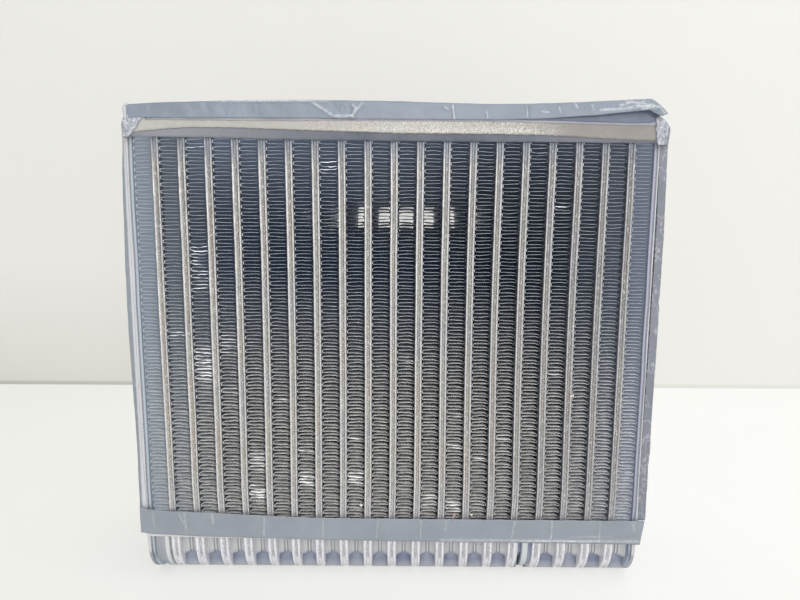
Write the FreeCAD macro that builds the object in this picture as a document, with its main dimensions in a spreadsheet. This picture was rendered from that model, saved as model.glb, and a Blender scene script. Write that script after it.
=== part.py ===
"""Evaporator core of a vehicle air conditioner, built from stamped plates and folded fins.

Nineteen flat tubes stand side by side, each a brazed pair of stamped plates with a folded fin strip
between it and the next. Round the lower end every pair swells into two cups. The cups meet port to
port and make the two rows of the tank. The foam and film that seal the core in its case are wrapped
round the rim.

X runs along the stack, Y from the front face to the back, Z from the tank up to the foam.
The origin is the middle of the tank's base, and all lengths are in millimetres.
"""
import FreeCAD, Part
import math
import os
import re

import Sketcher

doc = FreeCAD.newDocument("evaporator_core")
sizes = doc.addObject("Spreadsheet::Sheet", "Sizes")

SIZES = {
    # the stack
    "tube_count": 19,
    "tube_pitch": 10,
    "tube_thickness": 3.2,
    # the stamped plates
    "plate_depth": 62,
    "plate_height": 184,
    "corner_radius": 16,
    "rim_depth": 1.4,
    "rim_gap": 2,
    # the cups of the tank, and the ports through them
    "cup_setback": 1.6,
    "cup_base": 8.5,
    "cup_height": 15.5,
    "cup_bevel": 4.5,
    "cup_divider": 4,
    "port_land": 3,
    # the channel inside a tube
    "passage_gap": 2.2,
    "passage_edge": 2.6,
    "passage_rib": 3,
    "passage_turn": 14,
    # the bent edge that closes the gap under the cups
    "lip_inset": 0.15,
    "lip_wall": 0.5,
    "lip_start": 32,
    # the folded fins
    "fin_setback": 1,
    "fin_above_cups": 1,
    "fin_below_top": 1.5,
    "fin_legs": 26,
    "fin_thickness": 0.3,
    # the side plates that close the stack
    "side_outer_rim": 1.5,
    "side_inner_rim": 0.6,
    # the cap at the left end of the tank
    "cap_recess": 1,
    "cap_rim_width": 2.4,
    "cap_rim_inset": 0.1,
    "cap_boss": 0.9,
    # the block between two tubes that feeds the outlet
    "block_inset": 1,
    "block_left_boss": 1.8,
    "block_right_boss": 0.8,
    # the fittings and pipes at the back
    "neck_clearance": 0.2,
    "neck_reach": 6,
    "slot_width": 4,
    "slot_height": 10,
    "slot_overrun": 1,
    "port_axis_height": 10.5,
    "head_clearance": 0.3,
    "head_wall": 2.2,
    "head_depth": 10,
    "socket_depth": 8,
    "socket_clearance": 0.05,
    "pipe_end_gap": 0.5,
    "pipe_wall": 1,
    "pipe_reach": 14,
    "inlet_radius": 4.76,
    "outlet_radius": 7.94,
    # the foam on the sides
    "side_foam_overlap": 0.5,
    "left_foam_thickness": 2.2,
    "left_foam_base": 22.5,
    "left_foam_rise": 7,
    "right_foam_thickness": 2.8,
    "right_foam_base": 29,
    "right_foam_rise": 1,
    "foam_corner": 2,
    # the foam over the top and its film
    "top_foam_thickness": 8,
    "top_foam_reach": 2.6,
    "top_foam_drop": 5,
    "top_foam_slope": 3.6,
    "top_foam_toe": 1,
    "film_thickness": 0.4,
    "film_drop": 5,
    "film_loose": 60,
    "film_hinge": 10,
    "film_lift": 2.2,
    "film_flare": 3.4,
    # the foam strips and the film across the tank
    "strip_base": 18.6,
    "strip_height": 8.4,
    "strip_thickness": 1,
    "band_thickness": 0.6,
    "band_overhang": 0.9,
    "band_left_base": 21.4,
    "band_left_height": 10.2,
    "band_right_base": 18.2,
    "band_right_height": 9.9,
    "rear_strip_base": 22,
    "rear_strip_height": 11,
    "rear_strip_thickness": 1.5,
}

# how many tubes stand to the left of the outlet block
COUNT_BEFORE_BLOCK = 15
# straight steps that stand for the bend of a plate's lip at each corner
LIP_STEPS = 2


def fill_sheet():
    """Write every driving size into a cell of the sheet and give the cell its name."""
    for row, (name, number) in enumerate(SIZES.items(), start=1):
        cell = f"B{row}"
        sizes.set(f"A{row}", name.replace("_", " "))
        sizes.set(cell, str(number))
        sizes.setAlias(cell, name)
    doc.recompute()


def linked(formula):
    """Point each size in a formula at its cell. Every size name has an underscore in it."""
    return re.sub(r"[a-z]+(?:_[a-z]+)+", lambda found: "Sizes." + found.group(0), formula)


def value(formula):
    """The present number that a formula gives, in millimetres or degrees."""
    return float(sizes.evalExpression(formula))


def bind(item, prop, formula):
    item.setExpression(prop, linked(formula))


# formulas that several pieces share
HALF_DEPTH = "plate_depth / 2"
HALF_TUBE = "tube_thickness / 2"
GAP = "(tube_pitch - tube_thickness)"
END_PLATE_X = "(tube_count + 1) / 2 * tube_pitch"
CORE_WIDTH = "((tube_count + 1) * tube_pitch + tube_thickness)"
CUP_TOP = "(cup_base + cup_height)"
FILM_TOP = "(plate_height + top_foam_thickness + film_thickness)"


def new_body(label, x_formula="0"):
    """A body whose own middle plane stands at the given place along the stack."""
    body = doc.addObject("PartDesign::Body", label)
    body.Label = label
    bind(body, "Placement.Base.x", x_formula)
    return body


def new_sketch(body, name, plane, offset="0"):
    """A sketch on one of the body's own origin planes, moved out along the plane's normal."""
    sketch = body.newObject("Sketcher::SketchObject", f"{body.Name}_{name}")
    support = next(item for item in body.Origin.OriginFeatures if item.Role == plane)
    sketch.AttachmentSupport = [(support, "")]
    sketch.MapMode = "FlatFace"
    bind(sketch, "AttachmentOffset.Base.z", offset)
    return sketch


def hold(sketch, line, end, across, up):
    """Tie one end of a line to the sketch's origin with two formulas."""
    for kind, formula in (("DistanceX", across), ("DistanceY", up)):
        tie = Sketcher.Constraint(kind, -1, 1, line, end, value(formula))
        index = sketch.addConstraint(tie)
        bind(sketch, f"Constraints[{index}]", formula)


def draw_outline(sketch, corners):
    """Draw a closed outline of straight lines through corners given as pairs of formulas."""
    first = sketch.GeometryCount
    points = [FreeCAD.Vector(value(across), value(up), 0) for across, up in corners]
    count = len(points)
    for index in range(count):
        sketch.addGeometry(Part.LineSegment(points[index], points[(index + 1) % count]))
    for index, (across, up) in enumerate(corners):
        line = first + index
        before = first + (index - 1) % count
        sketch.addConstraint(Sketcher.Constraint("Coincident", before, 2, line, 1))
        hold(sketch, line, 1, across, up)


def draw_rectangle(sketch, left, right, low, high):
    draw_outline(sketch, [(left, low), (right, low), (right, high), (left, high)])


def draw_circle(sketch, up, radius):
    """Draw a circle on the sketch's upright axis."""
    centre = FreeCAD.Vector(0, value(up), 0)
    circle = sketch.addGeometry(Part.Circle(centre, FreeCAD.Vector(0, 0, 1), value(radius)))
    hold(sketch, circle, 3, "0", up)
    size = sketch.addConstraint(Sketcher.Constraint("Radius", circle, value(radius)))
    bind(sketch, f"Constraints[{size}]", radius)


def draw_plate(sketch, inset, top):
    """Draw the outline of a stamped plate, with both lower corners round, set in by an amount."""
    half = f"({HALF_DEPTH} - {inset})"
    flat = f"({HALF_DEPTH} - corner_radius)"
    corners = [
        (f"-{half}", top), (f"-{half}", "corner_radius"),
        (f"-{flat}", inset), (flat, inset),
        (half, "corner_radius"), (half, top),
    ]
    points = [FreeCAD.Vector(value(across), value(up), 0) for across, up in corners]
    radius = value(f"corner_radius - {inset}")
    middle = radius * math.sqrt(0.5)
    centre_up = value("corner_radius")
    left_middle = FreeCAD.Vector(-value(flat) - middle, centre_up - middle, 0)
    right_middle = FreeCAD.Vector(value(flat) + middle, centre_up - middle, 0)
    edges = [
        Part.LineSegment(points[0], points[1]),
        Part.Arc(points[1], left_middle, points[2]),
        Part.LineSegment(points[2], points[3]),
        Part.Arc(points[3], right_middle, points[4]),
        Part.LineSegment(points[4], points[5]),
        Part.LineSegment(points[5], points[0]),
    ]
    for edge in edges:
        sketch.addGeometry(edge)
    for line, (start, end) in ((0, (0, 1)), (2, (2, 3)), (4, (4, 5))):
        hold(sketch, line, 1, *corners[start])
        hold(sketch, line, 2, *corners[end])
    # a curve's ends are joined to the lines, and one tangent then fixes its radius
    for curve in (1, 3):
        sketch.addConstraint(Sketcher.Constraint("Tangent", curve - 1, 2, curve, 1))
        sketch.addConstraint(Sketcher.Constraint("Coincident", curve + 1, 1, curve, 2))
    sketch.addConstraint(Sketcher.Constraint("Coincident", 4, 2, 5, 1))
    sketch.addConstraint(Sketcher.Constraint("Coincident", 5, 2, 0, 1))


def pad(body, sketch, length, side="One side", back=False):
    """Give a sketch its thickness: to one side, to the other, or half to each."""
    feature = body.newObject("PartDesign::Pad", f"{sketch.Name}_pad")
    feature.Profile = sketch
    feature.SideType = side
    feature.Reversed = back
    feature.AllowMultiFace = True
    bind(feature, "Length", length)
    return feature


def pocket(body, sketch, length, side="One side", back=False):
    """Cut a sketch out of the body: to one side, to the other, or half to each."""
    feature = body.newObject("PartDesign::Pocket", f"{sketch.Name}_pocket")
    feature.Profile = sketch
    feature.SideType = side
    feature.Reversed = back
    feature.AllowMultiFace = True
    bind(feature, "Length", length)
    return feature


def add_plate(body, name, inset, top, start, length):
    """Add a slab with a plate's outline that starts at a place along the stack."""
    sketch = new_sketch(body, name, "YZ_Plane", start)
    draw_plate(sketch, inset, top)
    return pad(body, sketch, length)


def cup_sides(back_row):
    """The front and back walls of a cup in the front row or in the back row."""
    near = "cup_divider / 2"
    far = f"({HALF_DEPTH} - cup_setback)"
    if back_row:
        return near, far
    return f"-{far}", f"-{near}"


def draw_cup(sketch, back_row):
    """Draw the outline of one cup. It is bevelled where it faces out, and flat at the divider."""
    front, back = cup_sides(back_row)
    outer, inner, inward = (back, front, "-") if back_row else (front, back, "+")
    low, high = "cup_base", CUP_TOP
    draw_outline(sketch, [
        (inner, low), (f"{outer} {inward} cup_bevel", low), (outer, f"{low} + cup_bevel"),
        (outer, f"{high} - cup_bevel"), (f"{outer} {inward} cup_bevel", high), (inner, high),
    ])


def draw_port(sketch, back_row):
    """Draw the port in the face of one cup, inside the land that is brazed to the next cup."""
    front, back = cup_sides(back_row)
    draw_rectangle(sketch, f"{front} + port_land", f"{back} - port_land",
                   "cup_base + port_land", f"{CUP_TOP} - port_land")


def add_cups(body, name, start, length, side="One side", back=False):
    """Raise the cups of both rows from a plane across the stack."""
    sketch = new_sketch(body, name, "YZ_Plane", start)
    draw_cup(sketch, back_row=False)
    draw_cup(sketch, back_row=True)
    return pad(body, sketch, length, side, back)


def cut_rim_groove(body, left, right):
    """Cut the groove between the two rims of a plate pair, down to where the corners start."""
    sketch = new_sketch(body, "rim_groove", "XY_Plane", "corner_radius")
    edge = HALF_DEPTH
    draw_rectangle(sketch, left, right, f"-{edge}", f"-{edge} + rim_depth")
    draw_rectangle(sketch, left, right, f"{edge} - rim_depth", edge)
    # the plane's normal points up, and a pocket cuts the other way unless it is turned
    pocket(body, sketch, "plate_height", back=True)


def draw_lip(sketch):
    """Draw the bent edge that follows the lower corners and the base, as a thin open trough."""
    flat = f"({HALF_DEPTH} - corner_radius)"
    outer = "(corner_radius - lip_inset)"
    inner = "(corner_radius - lip_inset - lip_wall)"

    def corner(radius, step, side):
        angle = f"(lip_start + (90 - lip_start) * {step} / {LIP_STEPS})"
        across = f"{side}({flat} + {radius} * cos({angle}))"
        return across, f"corner_radius - {radius} * sin({angle})"

    down = range(LIP_STEPS + 1)
    up = range(LIP_STEPS, -1, -1)
    corners = [corner(outer, step, "-") for step in down]
    corners += [corner(outer, step, "") for step in up]
    corners += [corner(inner, step, "") for step in down]
    corners += [corner(inner, step, "-") for step in up]
    draw_outline(sketch, corners)


def cut_passage(body):
    """Hollow a tube from its ports: up the front half, over the rib and down the back half."""
    sketch = new_sketch(body, "passage", "YZ_Plane")
    far = f"({HALF_DEPTH} - passage_edge)"
    rib = "passage_rib / 2"
    low = f"{CUP_TOP} - port_land"
    high = "plate_height - passage_edge"
    turn = f"{high} - passage_turn"
    draw_outline(sketch, [
        (f"-{far}", low), (f"-{rib}", low), (f"-{rib}", turn), (rib, turn),
        (rib, low), (far, low), (far, high), (f"-{far}", high),
    ])
    pocket(body, sketch, "passage_gap", side="Symmetric")


def make_tube(index, cups_left, cups_right, lip):
    """One flat tube: two stamped plates brazed at their rims, with cups towards its neighbours."""
    body = new_body(f"tube_{index:02d}", f"({index} - (tube_count + 1) / 2) * tube_pitch")
    add_plate(body, "plates", "0", "plate_height", f"-{HALF_TUBE}", "tube_thickness")
    if cups_left and cups_right:
        add_cups(body, "cups", "0", "tube_pitch", side="Symmetric")
    else:
        add_cups(body, "cups", "0", "tube_pitch / 2", back=cups_left)
    if lip:
        sketch = new_sketch(body, "lip", "YZ_Plane", HALF_TUBE)
        draw_lip(sketch)
        pad(body, sketch, GAP)
    cut_rim_groove(body, "-rim_gap / 2", "rim_gap / 2")
    ports = new_sketch(body, "ports", "YZ_Plane")
    draw_port(ports, back_row=False)
    draw_port(ports, back_row=True)
    pocket(body, ports, "tube_pitch", side="Symmetric")
    cut_passage(body)
    return body


def make_fin(index):
    """One fin strip, folded to and fro between two tubes. Its folds are wider than the real ones."""
    body = new_body(f"fin_{index:02d}", f"({index} - 1 / 2 - (tube_count + 1) / 2) * tube_pitch")
    sketch = new_sketch(body, "folds", "XZ_Plane")
    legs = round(value("fin_legs"))
    width = value(GAP)
    base = value(f"{CUP_TOP} + fin_above_cups")
    rise = (value("plate_height - fin_below_top") - base) / legs
    # the strip's thickness measured level, across a leg that slopes
    across = value("fin_thickness") * math.hypot(width, rise) / rise
    middle = [((-1) ** leg * (width - across) / 2, base + leg * rise) for leg in range(legs + 1)]
    right = [FreeCAD.Vector(x + across / 2, z, 0) for x, z in middle]
    left = [FreeCAD.Vector(x - across / 2, z, 0) for x, z in reversed(middle)]
    points = right + left
    for start, end in zip(points, points[1:] + points[:1]):
        sketch.addGeometry(Part.LineSegment(start, end))
    pad(body, sketch, "plate_depth - fin_setback * 2", side="Symmetric")
    return body


def make_side_plate(label, side):
    """The plate that closes one end of the stack. Its two rims differ in width."""
    body = new_body(label, f"{side} * {END_PLATE_X}")
    add_plate(body, "plate", "0", "plate_height", f"-{HALF_TUBE}", "tube_thickness")
    inner = f"{side} * (-{HALF_TUBE} + side_inner_rim)"
    outer = f"{side} * ({HALF_TUBE} - side_outer_rim)"
    if side > 0:
        # blank cups close the tank at this end
        add_cups(body, "cups", "0", "tube_pitch / 2", back=True)
        cut_rim_groove(body, inner, outer)
    else:
        cut_rim_groove(body, outer, inner)
    return body


def add_fitting(body, pipe_radius):
    """Add the neck and head that carry a pipe behind the tank, with the socket and its slot."""
    back = HALF_DEPTH
    axis = "port_axis_height"
    head = f"({pipe_radius} + head_wall)"
    neck = f"({GAP} / 2 - neck_clearance)"
    face = f"({back} + head_clearance)"

    neck_sketch = new_sketch(body, "neck", "XZ_Plane", f"-({back} - neck_reach)")
    draw_rectangle(neck_sketch, f"-{neck}", neck, f"{axis} - {head} * 0.8", f"{axis} + {head} * 0.8")
    pad(body, neck_sketch, "neck_reach + head_clearance", back=True)

    head_sketch = new_sketch(body, "head", "XZ_Plane", f"-{face}")
    draw_rectangle(head_sketch, f"-{head}", head, f"{axis} - {head}", f"{axis} + {head}")
    pad(body, head_sketch, "head_depth", back=True)

    # the plane's normal points to the front, so a cut from the head's face runs that way
    socket = new_sketch(body, "socket", "XZ_Plane", f"-({face} + head_depth)")
    draw_circle(socket, axis, f"{pipe_radius} + socket_clearance")
    pocket(body, socket, "socket_depth + pipe_end_gap", back=True)

    slot = new_sketch(body, "slot", "XZ_Plane", f"-({face} + head_depth)")
    draw_rectangle(slot, "-slot_width / 2", "slot_width / 2",
                   f"{axis} - slot_height / 2", f"{axis} + slot_height / 2")
    pocket(body, slot, "head_depth + head_clearance + cup_setback + port_land + slot_overrun", back=True)


def make_end_cap():
    """The cap in the gap beside the left side plate. It closes the tank and takes the inlet pipe."""
    body = new_body("end_cap_left", f"-{END_PLATE_X} + tube_pitch / 2")
    left = f"-{GAP} / 2"
    web = f"({GAP} - cap_rim_width - cap_boss)"
    add_plate(body, "web", "cap_recess", CUP_TOP, left, web)
    add_plate(body, "rim", "cap_rim_inset", CUP_TOP, f"{left} + {web}", "cap_rim_width")
    add_cups(body, "bosses", f"{GAP} / 2 - cap_boss", "cap_boss")
    chamber = new_sketch(body, "chamber", "YZ_Plane", f"{GAP} / 2")
    draw_port(chamber, back_row=True)
    add_fitting(body, "inlet_radius")
    pocket(body, chamber, f"{GAP} - lip_wall * 2")
    return body


def make_outlet_block():
    """The block between two tubes that joins their ports and takes the outlet pipe."""
    body = new_body("outlet_block", f"({COUNT_BEFORE_BLOCK} + 1 / 2 - (tube_count + 1) / 2) * tube_pitch")
    left = f"-{GAP} / 2"
    width = f"({GAP} - block_left_boss - block_right_boss)"
    add_plate(body, "web", "block_inset", CUP_TOP, f"{left} + block_left_boss", width)
    add_cups(body, "bosses", left, GAP)
    ports = new_sketch(body, "ports", "YZ_Plane")
    draw_port(ports, back_row=False)
    draw_port(ports, back_row=True)
    add_fitting(body, "outlet_radius")
    pocket(body, ports, GAP, side="Symmetric")
    return body


def make_pipe(label, x_formula, radius):
    """A straight pipe stub that stands out of its socket at the back."""
    body = new_body(label, x_formula)
    seat = f"({HALF_DEPTH} + head_clearance + head_depth - socket_depth)"
    sketch = new_sketch(body, "ring", "XZ_Plane", f"-{seat}")
    draw_circle(sketch, "port_axis_height", radius)
    draw_circle(sketch, "port_axis_height", f"{radius} - pipe_wall")
    pad(body, sketch, "socket_depth + pipe_reach", back=True)
    return body


def make_side_foam(label, side, thickness, low, rise):
    """A foam sheet stuck to the outside of a side plate, with its corners cut round."""
    body = new_body(label, f"{side} * {CORE_WIDTH} / 2")
    sketch = new_sketch(body, "sheet", "YZ_Plane")
    half = f"({HALF_DEPTH} + side_foam_overlap)"
    high = f"(plate_height + {rise})"
    cut = "foam_corner"
    draw_outline(sketch, [
        (f"-{half} + {cut}", low), (f"{half} - {cut}", low),
        (half, f"{low} + {cut}"), (half, f"{high} - {cut}"),
        (f"{half} - {cut}", high), (f"-{half} + {cut}", high),
        (f"-{half}", f"{high} - {cut}"), (f"-{half}", f"{low} + {cut}"),
    ])
    pad(body, sketch, thickness, back=side < 0)
    return body


def make_top_foam():
    """The foam bar over the top of the plates. It laps over their front and back edges."""
    body = new_body("top_foam")
    sketch = new_sketch(body, "section", "YZ_Plane")
    seat = HALF_DEPTH
    face = f"({HALF_DEPTH} + top_foam_reach)"
    toe = f"({HALF_DEPTH} + top_foam_toe)"
    high = "plate_height + top_foam_thickness"
    low = "plate_height - top_foam_drop"
    bend = f"{low} + top_foam_slope"
    draw_outline(sketch, [
        (f"-{seat}", "plate_height"), (f"-{seat}", low), (f"-{toe}", low),
        (f"-{face}", bend), (f"-{face}", high), (face, high), (face, bend),
        (toe, low), (seat, low), (seat, "plate_height"),
    ])
    pad(body, sketch, CORE_WIDTH, side="Symmetric")
    return body


def film_section(name, place, lift, flare):
    """One section of the film over the top foam. Its front flap can be lifted and flared out."""
    sketch = doc.addObject("Sketcher::SketchObject", name)
    sketch.Placement.Rotation = FreeCAD.Rotation(FreeCAD.Vector(1, 1, 1), 120)
    bind(sketch, "Placement.Base.x", place)
    inner = f"({HALF_DEPTH} + top_foam_reach)"
    outer = f"({inner} + film_thickness)"
    low = f"{FILM_TOP} - film_thickness - film_drop"
    under = f"{FILM_TOP} - film_thickness"
    draw_outline(sketch, [
        (outer, low), (outer, FILM_TOP), ("film_hinge", FILM_TOP),
        (f"-{outer}", f"{FILM_TOP} + {lift}"),
        (f"-{outer} - {flare}", f"{low} + {lift} + {flare} / 3"),
        (f"-{inner} - {flare}", f"{low} + {lift} + {flare} / 3"),
        (f"-{inner}", f"{under} + {lift}"),
        ("film_hinge", under), (inner, under), (inner, low),
    ])
    return sketch


def make_top_film():
    """The film over the top foam. It lies flat up to the stretch at the right that has come loose."""
    end = f"{CORE_WIDTH} / 2"
    sections = [
        film_section("film_left", f"-{end}", "0", "0"),
        film_section("film_start", f"{end} - film_loose", "0", "0"),
        film_section("film_right", end, "film_lift", "film_flare"),
    ]
    film = doc.addObject("Part::Loft", "top_film")
    film.Label = "top_film"
    film.Sections = sections
    film.Solid = True
    film.Ruled = True
    return film


def make_strip(label, side, low, height, thickness):
    """A level foam strip across the plates, just above the tank."""
    body = new_body(label)
    sketch = new_sketch(body, "strip", "XZ_Plane", f"{side} * {HALF_DEPTH}")
    half = f"{CORE_WIDTH} / 2"
    cut = "foam_corner"
    draw_outline(sketch, [
        (f"-{half} + {cut}", low), (f"{half} - {cut}", low), (half, f"{low} + {cut}"),
        (half, f"{low} + {height}"), (f"-{half}", f"{low} + {height}"), (f"-{half}", f"{low} + {cut}"),
    ])
    pad(body, sketch, thickness, back=side < 0)
    return body


def make_front_band():
    """The film stuck over the front strip by hand, a little out of level."""
    body = new_body("front_film_band")
    sketch = new_sketch(body, "band", "XZ_Plane", f"{HALF_DEPTH} + strip_thickness")
    end = f"({CORE_WIDTH} / 2 + band_overhang)"
    draw_outline(sketch, [
        (f"-{end}", "band_left_base"), (end, "band_right_base"),
        (end, "band_right_base + band_right_height"), (f"-{end}", "band_left_base + band_left_height"),
    ])
    pad(body, sketch, "band_thickness")
    return body


def make_all():
    """Make every piece of the core, from the left end of the stack to the right."""
    count = round(value("tube_count"))
    pieces = [make_side_plate("side_plate_left", -1), make_end_cap()]
    for index in range(1, count + 1):
        pieces.append(make_tube(
            index,
            cups_left=index not in (1, COUNT_BEFORE_BLOCK + 1),
            cups_right=index != COUNT_BEFORE_BLOCK,
            lip=index != COUNT_BEFORE_BLOCK,
        ))
    for index in range(1, count + 2):
        pieces.append(make_fin(index))
    pieces.append(make_outlet_block())
    pieces.append(make_side_plate("side_plate_right", 1))
    pieces.append(make_pipe("inlet_pipe", f"-{END_PLATE_X} + tube_pitch / 2", "inlet_radius"))
    pieces.append(make_pipe(
        "outlet_pipe", f"({COUNT_BEFORE_BLOCK} + 1 / 2 - (tube_count + 1) / 2) * tube_pitch", "outlet_radius"))
    pieces.append(make_side_foam(
        "side_foam_left", -1, "left_foam_thickness", "left_foam_base", "left_foam_rise"))
    pieces.append(make_side_foam(
        "side_foam_right", 1, "right_foam_thickness", "right_foam_base", "right_foam_rise"))
    pieces.append(make_top_foam())
    pieces.append(make_top_film())
    pieces.append(make_strip("front_foam_strip", 1, "strip_base", "strip_height", "strip_thickness"))
    pieces.append(make_strip(
        "rear_foam_strip", -1, "rear_strip_base", "rear_strip_height", "rear_strip_thickness"))
    pieces.append(make_front_band())
    return pieces


def write_pieces(pieces):
    """Check every feature and every solid, then write one file for each piece."""
    doc.recompute()
    for item in doc.Objects:
        if "Invalid" in item.State or "Error" in item.State:
            raise RuntimeError(f"{item.Label} did not build: {item.State}")
    for piece in pieces:
        shape = piece.Shape
        if shape.isNull() or not shape.isValid() or len(shape.Solids) != 1:
            raise RuntimeError(f"{piece.Label} is not one sound solid")
    os.makedirs("parts", exist_ok=True)
    for piece in pieces:
        piece.Shape.exportStep(f"parts/{piece.Label}.step")


fill_sheet()
write_pieces(make_all())
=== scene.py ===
import math

import bmesh
import bpy
from mathutils import Matrix, Vector, noise


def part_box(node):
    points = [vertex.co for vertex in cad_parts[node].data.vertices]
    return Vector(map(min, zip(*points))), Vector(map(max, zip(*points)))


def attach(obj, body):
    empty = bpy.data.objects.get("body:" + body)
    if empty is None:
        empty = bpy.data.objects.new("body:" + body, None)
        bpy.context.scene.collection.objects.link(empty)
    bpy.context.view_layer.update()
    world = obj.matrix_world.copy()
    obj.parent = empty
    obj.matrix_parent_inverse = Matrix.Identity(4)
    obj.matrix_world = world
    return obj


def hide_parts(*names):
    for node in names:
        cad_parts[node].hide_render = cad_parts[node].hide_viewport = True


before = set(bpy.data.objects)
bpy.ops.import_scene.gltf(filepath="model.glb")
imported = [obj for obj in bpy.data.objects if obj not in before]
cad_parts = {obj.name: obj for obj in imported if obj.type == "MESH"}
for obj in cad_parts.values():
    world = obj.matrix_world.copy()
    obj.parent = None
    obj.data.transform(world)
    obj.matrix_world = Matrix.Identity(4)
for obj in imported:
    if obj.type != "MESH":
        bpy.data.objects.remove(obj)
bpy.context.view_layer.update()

MM = 0.001

# Places taken from the frame

TUBES = sorted(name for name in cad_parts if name.startswith("tube_"))
FINS = sorted(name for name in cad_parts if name.startswith("fin_"))
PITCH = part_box("fin_02")[0].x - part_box("fin_01")[0].x
FIN_LOW, FIN_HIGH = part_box("fin_01")
GAP = FIN_HIGH.x - FIN_LOW.x
TUBE_WIDTH = PITCH - GAP
PLATE_LOW, PLATE_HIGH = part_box("side_plate_left")
FRONT, BACK = PLATE_LOW.y, PLATE_HIGH.y
HALF_DEPTH = (BACK - FRONT) / 2
PLATE_TOP = PLATE_HIGH.z
SIDE_X = (PLATE_LOW.x + PLATE_HIGH.x) / 2
CORE_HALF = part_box("top_foam")[1].x
CORNER_RADIUS = 16 * MM
CUP_BASE = 8.4 * MM
CUP_HEIGHT = 15.6 * MM
CUP_SETBACK = 2.8 * MM
CUP_CORNER = 4 * MM
CUP_DIVIDER = 4 * MM
FOOT_INSET = 0.35 * MM
GROOVE_HALF = 0.68 * MM
BLOCK_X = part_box("outlet_pipe")[0].x / 2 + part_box("outlet_pipe")[1].x / 2
CAP_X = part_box("inlet_pipe")[0].x / 2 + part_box("inlet_pipe")[1].x / 2


def tube_x(index):
    """The middle of a tube, counted from one at the left."""
    return (index - (len(TUBES) + 1) / 2) * PITCH


def fin_x(index):
    """The middle of a gap between tubes, counted from one at the left."""
    return (index - (len(FINS) + 1) / 2) * PITCH


# Small helpers

def tone(red, green, blue):
    """A linear colour from screen values of 0 to 255."""
    return tuple(((value / 255 + 0.055) / 1.055) ** 2.4 for value in (red, green, blue)) + (1.0,)


BLACK = (0.0, 0.0, 0.0, 1.0)


def ease(value, low, high):
    """A smooth rise from 0 to 1 between two values."""
    part = min(max((value - low) / (high - low), 0.0), 1.0)
    return part * part * (3 - 2 * part)


def bump(value, centre, width):
    """A smooth hump of height 1 round a centre."""
    return math.exp(-((value - centre) / width) ** 2)


def ripple(x, y, z, scale):
    """Smooth noise between -1 and 1. Scale is the size of its waves."""
    return noise.noise(Vector((x, y, z)) / scale)


def read(table, place):
    """The value at a place in a table of (place, value) pairs, in straight lines between them."""
    for (start, low), (end, high) in zip(table, table[1:]):
        if place <= end:
            part = min(max((place - start) / (end - start), 0.0), 1.0)
            return low + (high - low) * part
    return table[-1][1]


def crease(place, start, end, width):
    """The height of a sharp crease at a place beside a line: 1 on it, less beside it."""
    along = end - start
    part = min(max((place - start).dot(along) / along.length_squared, 0.0), 1.0)
    return math.exp(-(place - start - along * part).length / width)


def only(items, kind):
    """The items of one kind among those that an operator made."""
    return [item for item in items if isinstance(item, kind)]


def move(bm, verts, x, y, z):
    """Shift vertices of a bmesh."""
    bmesh.ops.translate(bm, verts=verts, vec=(x, y, z))


def finish_piece(name, bm, material, nodes=(), angle=35, recalc=True):
    """Make an object of a finished bmesh. It rides on the part, and its CAD nodes are hidden."""
    if recalc:
        bmesh.ops.recalc_face_normals(bm, faces=bm.faces)
    mesh = bpy.data.meshes.new(name)
    bm.to_mesh(mesh)
    bm.free()
    mesh.shade_smooth()
    mesh.set_sharp_from_angle(angle=math.radians(angle))
    mesh.materials.append(material)
    piece = bpy.data.objects.new(name, mesh)
    bpy.context.collection.objects.link(piece)
    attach(piece, "root")
    if nodes:
        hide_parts(*nodes)
    return piece


# how far sideways the stack has been pushed at each height, at places along it, in millimetres
SHIFT_PLACES = (-100, -90, -70, -40, -10, 20, 50, 75, 90, 100)
SHIFT_ROWS = (
    (17, (1.0, 0.4, 0.8, 0.3, -0.1, -0.2, -0.5, -0.3, -0.6, -1.3)),
    (32, (0.5, -0.1, 0.1, 0.1, 0.0, 0.1, 0.2, 0.2, -0.1, -0.3)),
    (41, (0.4, -0.27, -0.2, 0.08, 0.2, 0.25, 0.4, 0.3, 0.05, -0.3)),
    (65, (0.2, -0.2, -0.05, 0.32, 0.42, 0.22, 0.05, 0.2, 0.1, -0.1)),
    (90, (0.1, -0.45, -0.05, 0.52, 0.45, 0.1, -0.15, 0.0, 0.1, 0.0)),
    (114, (0.0, -0.5, 0.0, 0.62, 0.47, 0.15, -0.2, 0.0, 0.12, 0.0)),
    (137, (0.0, -0.5, 0.04, 0.65, 0.5, 0.15, -0.03, 0.1, 0.27, 0.0)),
    (161, (0.0, -0.5, -0.08, 0.5, 0.6, 0.35, 0.25, 0.4, 0.3, 0.0)),
    (176, (0.0, -0.42, -0.08, 0.46, 0.5, 0.5, 0.46, 0.38, 0.27, 0.0)),
)


def shift_levels(x):
    """The sideways push at one place along the stack, as (height, push) pairs."""
    return [(height, read(tuple(zip(SHIFT_PLACES, row)), x / MM)) for height, row in SHIFT_ROWS]


def push(bm, middle, reach):
    """Push a piece sideways, as its place in the photograph shows, and note each point's place."""
    before, after = shift_levels(middle - reach), shift_levels(middle + reach)
    across = bm.verts.layers.float.new("across")
    for vert in bm.verts:
        vert[across] = vert.co.x - middle
        part = (vert.co.x - middle + reach) / (2 * reach)
        level = vert.co.z / MM
        vert.co.x += (read(before, level) * (1 - part) + read(after, level) * part) * MM


# Materials

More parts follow.
